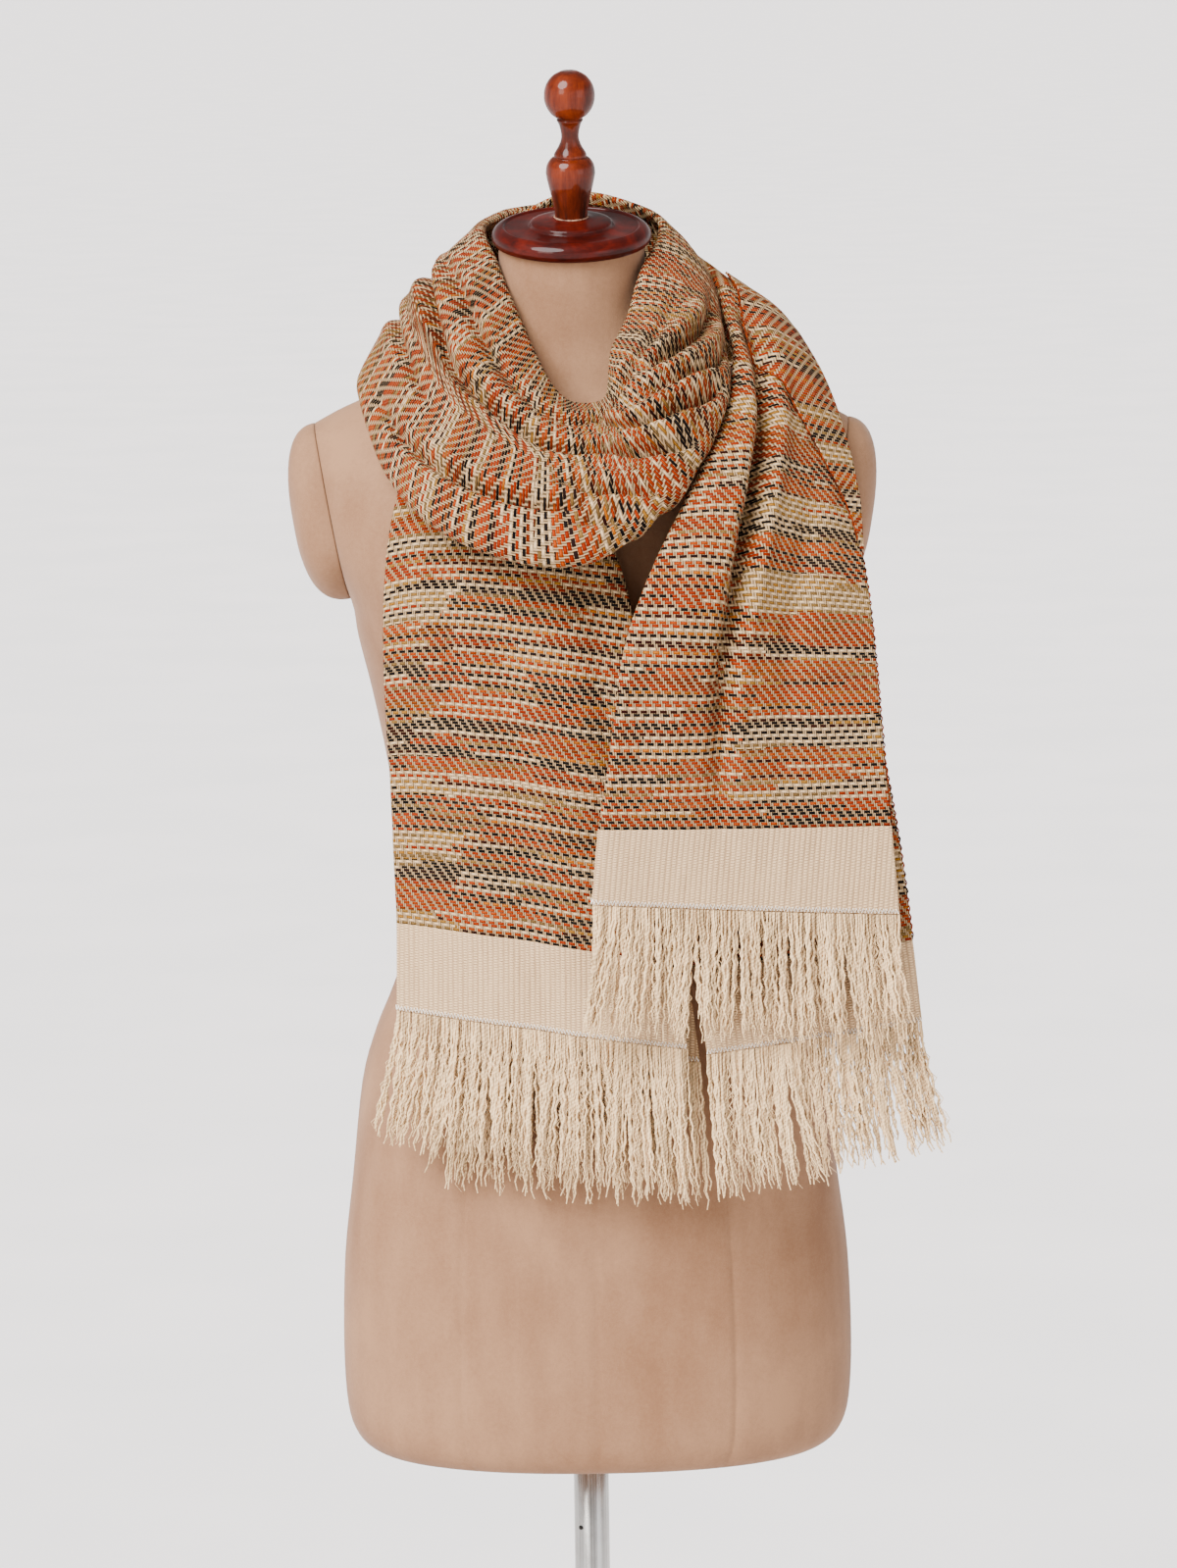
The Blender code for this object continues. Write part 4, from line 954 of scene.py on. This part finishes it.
def fringeStrands(hem, size, look):
    draw = random.Random(size["seed"])
    reached = lengths(hem)
    strands = []
    clumpLeft = 0
    for k in range(size["count"]):
        if clumpLeft <= 0:
            clumpLeft = max(2, round(draw.gauss(*look["clump"])))
            aside, deep = (draw.gauss(0, spread) for spread in look["gather"])
            sway = draw.uniform(0, look["anyTurn"])
        clumpLeft -= 1
        share = (k + draw.uniform(0.2, 0.8)) / size["count"]
        root = placeAlong(hem, reached, share * reached[-1]) / mm
        ragged = draw.uniform(-look["ragged"], 0.6 * look["ragged"])
        fall = np.interp(share, (0, 1), size["falls"]) * (1 + ragged)
        spread = np.interp(share, (0, 1), size["spreads"])
        start = draw.uniform(-look["depth"], look["depth"])
        turn, swing = draw.uniform(0, look["anyTurn"]), draw.gauss(0, look["swing"])
        stray = draw.random() < look["looseShare"]
        strand = []
        for n in range(look["points"]):
            s = n / (look["points"] - 1)
            crimp = min(1.0, s * 4) * look["crimp"] * (0.75 + 0.5 * draw.random())
            crimp *= look["looseCrimp"] if stray else 1.0
            phase = 2 * math.pi * s * fall / look["wave"] + turn
            side = spread * s**1.5 + aside * s**1.3 + swing * s + crimp * math.sin(phase)
            side += look["sway"] * math.sin(3.2 * s + sway) * s
            depth = start + deep * s + crimp * 0.8 * math.cos(phase * 0.93 + 1.0)
            drop = look["seam"] + (fall - look["seam"]) * s
            thick = look["root"] + 0.35 * min(1.0, 3 * s)
            thick *= 1 - look["tip"] * max(0.0, s - 0.75) / 0.25
            thick *= draw.uniform(*look["uneven"]) * (look["looseThick"] if stray else 1.0)
            strand.append((((root + (side, depth, -drop)) * mm).tolist(), thick))
        strands.append(strand)
    return strands


for side, size in fringes.items():
    hem = borders[side][1][-1]
    strands = fringeStrands(hem[int(size["from"] * len(hem)):], size, fringeLook)
    piece = yarnMesh(side + "Fringe", strands, fringeLook["radius"], fringeYarn)
    settle(piece, "cream_fringe", side + "_fringe")
print("fringes knotted")

# a white zigzag of overlock thread along each hem
stitch = {"pitch": 2.2, "foot": 0.4, "rise": 3.0, "radius": 0.36, "proud": 1.25}


def hemStitch(name, points, size):
    # the stitch lies on the front of the border, just above its lower edge
    low, high = points[-1], points[-2]
    up = (high - low) / np.linalg.norm(high - low, axis=1)[:, None]
    along = np.gradient(low, axis=0)
    along /= np.linalg.norm(along, axis=1)[:, None]
    outward = np.cross(along, up)
    reached = lengths(low)
    strand = []
    for n, d in enumerate(np.arange(0.0, reached[-1], size["pitch"] * mm / 2)):
        base, rise, front = (placeAlong(line, reached, d) for line in (low, up, outward))
        front *= -math.copysign(size["proud"], front[1]) * mm
        strand.append((base + front + rise * (size["foot"] + size["rise"] * (n % 2)) * mm, 1.0))
    return yarnMesh(name, [strand], size["radius"], small["polyesterThread"])


for side, (_, points) in borders.items():
    settle(hemStitch(side + "HemStitch", points, stitch), "cream_border")

# the wefts turn round the selvedge in small dark loops
loops = {"pitch": 5.7, "out": 1.1, "radius": 0.62, "points": 6, "uneven": (0.7, 1.2)}


def selvedgeLoops(name, points, size):
    # one yarn that swings in and out along the last column of a cloth's points
    edge, inner = points[:, -1], points[:, -3]
    reached = lengths(edge)
    draw = random.Random(len(name))
    strand = []
    for d in np.arange(0.0, reached[-1], size["pitch"] * mm / size["points"]):
        place, within = (placeAlong(line, reached, d) for line in (edge, inner))
        side = (place - within) / np.linalg.norm(place - within)
        wave = 0.5 + 0.5 * math.sin(2 * math.pi * d / (size["pitch"] * mm))
        strand.append((place + side * size["out"] * wave * mm, draw.uniform(*size["uneven"])))
    return yarnMesh(name, [strand], size["radius"], small["dyedWeftYarn"])


chestRow = int(wrap["selvedgeFrom"] / wrap["borderTop"] * len(shawlPoints))
for name, points in (
    ("rightSelvedgeLoops", shawlPoints[chestRow:]),
    ("turnedSelvedgeLoops", turnedPoints[slice(*turnback["looped"])]),
    ("rearSelvedgeLoops", panels["shawlRightRear"][1]),
):
    settle(selvedgeLoops(name, points, loops), "woven_cloth")
print("hems and selvedges sewn")


def loft(rings):
    # an open tube through rings that all have as many points
    tube = bmesh.new()
    loop = bmesh.ops.create_circle(tube, segments=len(rings[0]), radius=1.0)["verts"]
    edges = list(tube.edges)
    for v, place in zip(loop, rings[0]):
        v.co = place
    for ring in rings[1:]:
        grown = bmesh.ops.extrude_edge_only(tube, edges=edges)["geom"]
        fresh = {g for g in grown if isinstance(g, bmesh.types.BMVert)}
        edges = [g for g in grown if isinstance(g, bmesh.types.BMEdge) and fresh.issuperset(g.verts)]
        # each new corner follows the old one that it grew from
        loop = [next(e.other_vert(v) for e in v.link_edges if e.other_vert(v) in fresh) for v in loop]
        for v, place in zip(loop, ring):
            v.co = place
    return tube


# The dress form, one row for each level: half width, how far the front and the back reach from the axis, how
# far the section's middle lies forwards and aside, and how square it is (2 is an ellipse). Seams run down the
# sides, the centres and the princess lines, and stop where the shoulders begin. Each arm hole is a plane from
# its foot to its top, with a domed cap over it.
body = {
    "rows": (
        (600.0, 144.0, 84.0, 92.0, 0.0, 5.7, 2.3), (603.0, 154.0, 92.0, 101.0, 0.0, 5.7, 2.3),
        (612.0, 163.0, 99.0, 109.0, 0.0, 5.7, 2.3), (630.0, 168.5, 103.0, 115.0, 0.0, 5.7, 2.3),
        (670.0, 170.5, 105.0, 121.0, 0.0, 5.7, 2.3), (730.0, 168.5, 106.0, 126.0, 0.0, 5.6, 2.3),
        (785.0, 162.0, 107.0, 120.0, 0.0, 5.5, 2.3), (850.0, 154.0, 103.0, 104.0, 0.0, 5.2, 2.2),
        (885.0, 144.0, 99.0, 95.0, 0.0, 5.0, 2.2), (910.0, 133.5, 96.0, 89.0, 0.0, 4.9, 2.2),
        (935.0, 125.0, 92.0, 84.0, 0.0, 4.8, 2.15), (970.0, 122.5, 89.0, 80.0, 0.0, 4.6, 2.1),
        (1020.0, 125.0, 90.0, 80.0, 0.0, 4.4, 2.1), (1070.0, 132.5, 97.0, 85.0, 0.0, 4.2, 2.1),
        (1115.0, 141.0, 108.0, 92.0, 0.0, 4.0, 2.2), (1150.0, 149.0, 116.0, 97.0, 0.0, 3.9, 2.3),
        (1174.0, 153.0, 119.0, 100.0, 0.0, 3.8, 2.35), (1205.0, 167.0, 114.0, 102.0, 0.0, 3.7, 2.3),
        (1240.0, 178.0, 101.0, 103.0, 0.0, 3.7, 2.15), (1268.0, 183.0, 84.0, 98.0, 0.0, 3.6, 2.0),
        (1284.0, 181.0, 72.0, 90.0, 0.0, 3.4, 1.95), (1295.0, 164.5, 65.0, 82.0, 0.0, 3.2, 1.9),
        (1304.0, 145.0, 61.0, 75.0, 0.0, 2.8, 1.9), (1314.0, 119.0, 56.0, 68.0, 0.0, 2.2, 1.9),
        (1328.0, 87.0, 52.0, 60.0, 1.0, 1.4, 1.9), (1344.0, 63.0, 48.0, 53.0, 3.0, 0.6, 2.0),
        (1362.0, 51.0, 46.0, 48.0, 6.0, -0.2, 2.0), (1380.0, 48.0, 45.0, 45.5, 9.5, -0.8, 2.0),
        (1393.0, 47.5, 44.5, 44.5, 11.0, -1.0, 2.0),
    ),
    "capCentre": (-1.0, -10.8, 1405.4), "seamGap": 0.4,
    "seamShare": 0.53, "seamHalf": 1.1, "seamDepth": 0.8, "seamEnd": (1278.0, 1300.0),
    "panel": 17, "levels": 4,  # points across each panel, and levels made of each row
    "armTop": (174.5, 1290.0), "armFoot": (153.0, 1174.0), "armAside": 3.8,
    "domeRise": 27.0, "domeCentre": 0.40, "domePower": 2.5, "tuck": 0.009, "tuckTo": 0.03,
    "domeHeights": (0.0, 0.012, 0.03, 0.07, *np.linspace(0.12, 0.9, 18), 0.94, 0.97, 0.985, 0.995),
}
bodyColumns = ("z", "half", "front", "back", "ahead", "aside", "square")


def bodyRing(level, size):
    # one level of the cover, with a shallow groove at each seam
    princess = math.acos(size["seamShare"] ** (level["square"] / 2))
    quarters = [0.0, math.pi / 2, math.pi, 1.5 * math.pi, 2 * math.pi]
    between = [princess, math.pi - princess, math.pi + princess, 2 * math.pi - princess]
    seams = sorted(quarters + between)
    half = size["seamHalf"] / (0.85 * level["half"])  # as an angle, near enough
    sewn = size["seamDepth"] * (1 - float(ease(*size["seamEnd"], level["z"])))

    def corner(turn, sunk):
        shape = [math.copysign(abs(c) ** (2 / level["square"]), c) for c in (math.cos(turn), math.sin(turn))]
        depth = level["back"] if shape[1] > 0 else level["front"]
        x = (1 - sunk / level["half"]) * level["half"] * shape[0] + level["aside"]
        y = (1 - sunk / level["half"]) * depth * shape[1] - level["ahead"]
        return Vector((x, y, level["z"])) * mm

    ring = []
    for seam, after in zip(seams, seams[1:]):
        ring += [corner(seam - half, 0.0), corner(seam, sewn), corner(seam + half, 0.0)]
        panel = np.linspace(seam + half, after - half, size["panel"] + 2)[1:-1]
        ring += [corner(turn, 0.0) for turn in panel]
    return ring


def loopOrder(edges):
    # the corners of a closed loop of edges, in order
    start = edges[0].verts[0]
    order, last, at = [start.co.copy()], edges[0], edges[0].verts[1]
    while at != start:
        order.append(at.co.copy())
        last = next(e for e in at.link_edges if e in edges and e != last)
        at = last.other_vert(at)
    return order


def dressForm(size):
    columns = readRows(size["rows"], bodyColumns)
    index = np.arange(len(columns["z"]))
    finer = np.linspace(0, index[-1], index[-1] * size["levels"] + 1)
    levels = {name: smooth(index, column, finer) for name, column in columns.items()}
    rings = [bodyRing({name: column[k] for name, column in levels.items()}, size) for k in range(len(finer))]
    _, capY, capZ = size["capCentre"]
    for place in rings[-1]:
        place.z = (capZ - size["seamGap"]) * mm + (place.y - capY * mm) * math.tan(math.radians(lean))
    torso = loft(rings)
    middle = (rings[0][0].z + rings[-1][0].z) / 2
    for top in (False, True):
        rim = [e for e in torso.edges if e.is_boundary and (e.verts[0].co.z > middle) == top]
        bmesh.ops.contextual_create(torso, geom=rim)
    bmesh.ops.recalc_face_normals(torso, faces=torso.faces)
    for side, hand in ((-1, "left"), (1, "right")):
        top, foot = (
            Vector((side * x + size["armAside"], 0.0, z)) * mm for x, z in (size["armTop"], size["armFoot"])
        )
        normal = Vector((side * (top.z - foot.z), 0.0, side * (foot.x - top.x))).normalized()
        upper = [f for f in torso.faces if min(v.co.z for v in f.verts) > foot.z - 1e-5]
        cut = {part for f in upper for part in (*f.verts, *f.edges)}
        bmesh.ops.bisect_plane(
            torso, geom=list(cut) + upper, plane_co=foot, plane_no=normal, clear_outer=True, dist=1e-5
        )
        rim = [e for e in torso.edges if e.is_boundary]
        bmesh.ops.remove_doubles(torso, verts=list({v for e in rim for v in e.verts}), dist=0.001)
        rim = [e for e in torso.edges if e.is_boundary]
        outline = loopOrder(rim)
        bmesh.ops.contextual_create(torso, geom=rim)
        cap = shoulderCap(hand + "ShoulderCap", outline, foot.lerp(top, size["domeCentre"]), normal, size)
        settle(cap, "form_cover", "shoulder_cap_" + hand)
    bmesh.ops.recalc_face_normals(torso, faces=torso.faces)
    return settle(keepMesh("torsoCover", torso, cover, 60), "form_cover", "torso")


def shoulderCap(name, outline, centre, normal, size):
    # a domed cap on one armhole, turned in a little where it is sewn on
    rings = []
    for height in size["domeHeights"]:
        shrink = (1 - height ** size["domePower"]) ** (1 / size["domePower"])
        shrink *= 1 - size["tuck"] * (1 - min(1.0, height / size["tuckTo"])) ** 2
        lift = normal * (height * size["domeRise"] + size["seamGap"]) * mm
        rings.append([centre + (p - centre) * shrink + lift for p in outline])
    cap = loft(rings)
    for end in (rings[0], rings[-1]):
        rim = [e for e in cap.edges if e.is_boundary and abs((e.verts[0].co - end[0]).dot(normal)) < 0.1 * mm]
        bmesh.ops.contextual_create(cap, geom=rim)
    bmesh.ops.recalc_face_normals(cap, faces=cap.faces)
    return keepMesh(name, cap, cover, 60)


dressForm(body)
print("dress form covered")


def turned(name, profile, material, centre, tilt=0.0, segments=96, finer=5, sharp=50.0):
    # a turned piece: a smooth line through its profile is spun round an axis that leans forwards
    knots = np.arange(len(profile))
    at = np.linspace(0, knots[-1], knots[-1] * finer + 1) if finer > 1 else knots
    outline = [smooth(knots, column, at) for column in np.array(profile, float).T]
    lathe = bmesh.new()
    line = [lathe.verts.new((0.0, 0.0, profile[0][1] * mm))]
    line += [lathe.verts.new((r * mm, 0.0, z * mm)) for r, z in zip(*outline)]
    line.append(lathe.verts.new((0.0, 0.0, profile[-1][1] * mm)))
    edges = [lathe.edges.new(pair) for pair in zip(line, line[1:])]
    about = {"cent": (0, 0, 0), "axis": (0, 0, 1), "angle": 2 * math.pi}
    bmesh.ops.spin(lathe, geom=line + edges, **about, steps=segments, use_merge=True)
    bmesh.ops.remove_doubles(lathe, verts=lathe.verts, dist=1e-6)
    bmesh.ops.recalc_face_normals(lathe, faces=lathe.faces)
    place = Matrix.Translation(Vector(centre) * mm) @ Matrix.Rotation(tilt, 4, "X")
    bmesh.ops.transform(lathe, matrix=place, verts=lathe.verts)
    return keepMesh(name, lathe, material, sharp)


# the cap on the neck and its finial, as (radius, height) from the bottom up
capProfile = (
    (45.0, 0.0), (49.5, 0.6), (51.6, 3.2), (52.0, 5.6), (51.2, 8.4), (48.8, 11.0), (45.8, 12.3), (44.4, 12.2),
    (43.4, 11.3), (41.5, 11.4), (34.0, 11.2), (28.4, 11.8), (27.2, 13.0), (26.2, 14.8), (23.0, 16.0),
    (15.0, 16.8), (11.6, 17.5),
)
finialProfile = (
    (10.4, 0.0), (11.1, 5.9), (12.8, 14.2), (14.7, 21.9), (15.8, 27.5), (16.0, 30.4), (15.2, 34.7),
    (13.0, 38.2), (11.0, 39.5), (10.3, 40.1), (10.6, 41.1), (10.0, 42.8), (7.7, 46.6), (6.2, 50.4),
    (5.7, 53.6), (6.1, 57.4), (7.2, 61.6), (8.4, 64.0), (8.4, 64.8), (8.0, 65.5), (9.2, 66.3),
    (12.0, 68.5), (14.4, 71.9), (16.0, 76.0), (16.5, 80.1), (16.0, 84.6), (14.2, 89.1), (10.7, 93.2),
    (6.0, 95.9),
)
finialSeat = 17.9  # how far the finial's foot stands above the cap's underside
tilt = math.radians(lean)
capCentre = Vector(body["capCentre"])
axis = Vector((0.0, -math.sin(tilt), math.cos(tilt)))
seat = capCentre + axis * finialSeat
settle(turned("neckCap", capProfile, capWood, capCentre, tilt, 128), "cap_wood", "neck_cap")
settle(turned("turnedFinial", finialProfile, finialWood, seat, tilt, 96), "finial_wood", "finial")

# a bead of dried glue round the finial's foot
glue = {"radius": 10.8, "bead": 0.6, "uneven": 0.7, "count": 72}


def glueBead(size):
    strand = []
    for k in range(size["count"] + 1):
        turn = 2 * math.pi * k / size["count"]
        spot = Vector((math.cos(turn), math.sin(turn), 0.0))
        swell = 1 + size["uneven"] * noise.noise(spot * 4)
        around = Matrix.Rotation(tilt, 4, "X") @ (spot * size["radius"])
        strand.append(((seat + around) * mm, swell))
    return yarnMesh("glueBead", [strand], size["bead"], small["driedGlue"], 1)


settle(glueBead(glue), "finial_wood")

# the steel stand, as (radius, height) from the bottom up, and a set screw in the pole
flangeProfile = ((13.0, 0.0), (16.5, 1.4), (20.5, 4.2), (21.0, 5.6))
socketProfile = ((27.0, 0.0), (26.5, 2.0), (22.5, 5.0), (21.5, 24.0), (20.0, 27.0))
plateProfile = (
    (160.0, 0.0), (168.0, 1.5), (170.0, 4.0), (170.0, 9.0), (167.0, 12.5), (158.0, 14.5), (60.0, 16.0),
)
poleSize = {
    "radius": 11.8, "edge": 0.5, "holeX": -7.3, "holeZ": 541.0,
    "screw": {"radius": 1.5, "length": 1.2, "rim": 0.675, "socket": 0.6},
}
foot, head = (corner.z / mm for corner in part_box("pole"))
tall, radius, edge = head - foot, poleSize["radius"], poleSize["edge"]
poleProfile = ((radius - edge, 0.0), (radius, edge), (radius, tall - edge), (radius - edge, tall))
for name, node, profile, metal, look in (
    ("poleFlange", "pole_flange", flangeProfile, plateSteel, {}),
    ("standPole", "pole", poleProfile, poleSteel, {"finer": 1}),
    ("poleSocket", "pole_socket", socketProfile, plateSteel, {"finer": 1}),
    ("basePlate", "base_plate", plateProfile, plateSteel, {"segments": 160, "finer": 1, "sharp": 35}),
):
    centre = (0, 0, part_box(node)[0].z / mm)
    settle(turned(name, profile, metal, centre, **look), "steel", node)


def setScrew(size, look):
    # a blacked grub screw, flush in the pole's front
    place = Vector((size["holeX"], -math.sqrt(size["radius"] ** 2 - size["holeX"] ** 2), size["holeZ"]))
    screw = bmesh.new()
    ends = {"radius1": look["radius"], "radius2": look["radius"], "depth": look["length"]}
    bmesh.ops.create_cone(screw, segments=24, cap_ends=True, cap_tris=False, **ends)
    face = max(screw.faces, key=lambda f: f.calc_center_median().z)
    bmesh.ops.inset_region(screw, faces=[face], thickness=look["rim"])
    bmesh.ops.translate(screw, vec=(0, 0, -look["socket"]), verts=face.verts)
    turn = Vector((place.x, place.y, 0.0)).to_track_quat("Z", "Y").to_matrix().to_4x4()
    turn = Matrix.Translation(place * mm) @ turn @ Matrix.Scale(mm, 4)
    bmesh.ops.transform(screw, matrix=turn, verts=screw.verts)
    return keepMesh("poleSetScrew", screw, small["blackedScrew"], 40)


settle(setScrew(poleSize, poleSize["screw"]), "steel")
print("stand turned")

# A pale floor that runs to the horizon, and soft light: the sky's colour and its strength at and above the
# horizon, how high it fades, a broad sun and two lamps. Lengths are in metres.
studio = {
    "floor": 160.0, "sky": ("#F4F1F0", 2.35, 0.5), "horizon": (0.10, 0.45), "aim": (0.0, 0.0, 1.1),
    "sun": {"from": (-0.75, -0.9, 1.15), "power": 10.0, "angle": 38.0},
    "lamps": {
        "key": {"at": (-1.8, -2.4, 2.3), "size": 1.2, "power": 46.0, "colour": "#FFF9F2"},
        "fill": {"at": (2.3, -2.2, 1.7), "size": 1.6, "power": 14.0, "colour": "#F7F9FF"},
    },
}


def lightStudio(size):
    ground = bmesh.new()
    bmesh.ops.create_grid(ground, x_segments=8, y_segments=8, size=size["floor"])
    keepMesh("studioFloor", ground, small["studioFloor"])
    world = bpy.data.worlds.new("studioSky")
    world.use_nodes = True
    sky = world.node_tree.nodes["Background"]
    colour, *strengths = size["sky"]
    add = partial(addNode, world.node_tree)
    rise = add("SeparateXYZ", (add("TexCoord"),), out=2)
    fade = add("MapRange", (rise, *size["horizon"], *strengths), interpolation_type="SMOOTHSTEP")
    world.node_tree.links.new(fade, sky.inputs["Strength"])
    sky.inputs["Color"].default_value = linear(colour)
    bpy.context.scene.world = world
    sun = bpy.data.lights.new("softSun", "SUN")
    sun.energy = size["sun"]["power"]
    sun.angle = math.radians(size["sun"]["angle"])
    made = addObject("softSun", sun)
    made.matrix_world = Vector(size["sun"]["from"]).to_track_quat("Z", "Y").to_matrix().to_4x4()
    for name, lamp in size["lamps"].items():
        light = bpy.data.lights.new(name, "AREA")
        light.shape = "SQUARE"
        light.size = lamp["size"]
        light.energy = lamp["power"]
        light.color = linear(lamp["colour"])[:3]
        turn = (Vector(size["aim"]) - Vector(lamp["at"])).to_track_quat("-Z", "Y").to_matrix().to_4x4()
        addObject(name, light).matrix_world = Matrix.Translation(lamp["at"]) @ turn


lightStudio(studio)
print("studio lit")
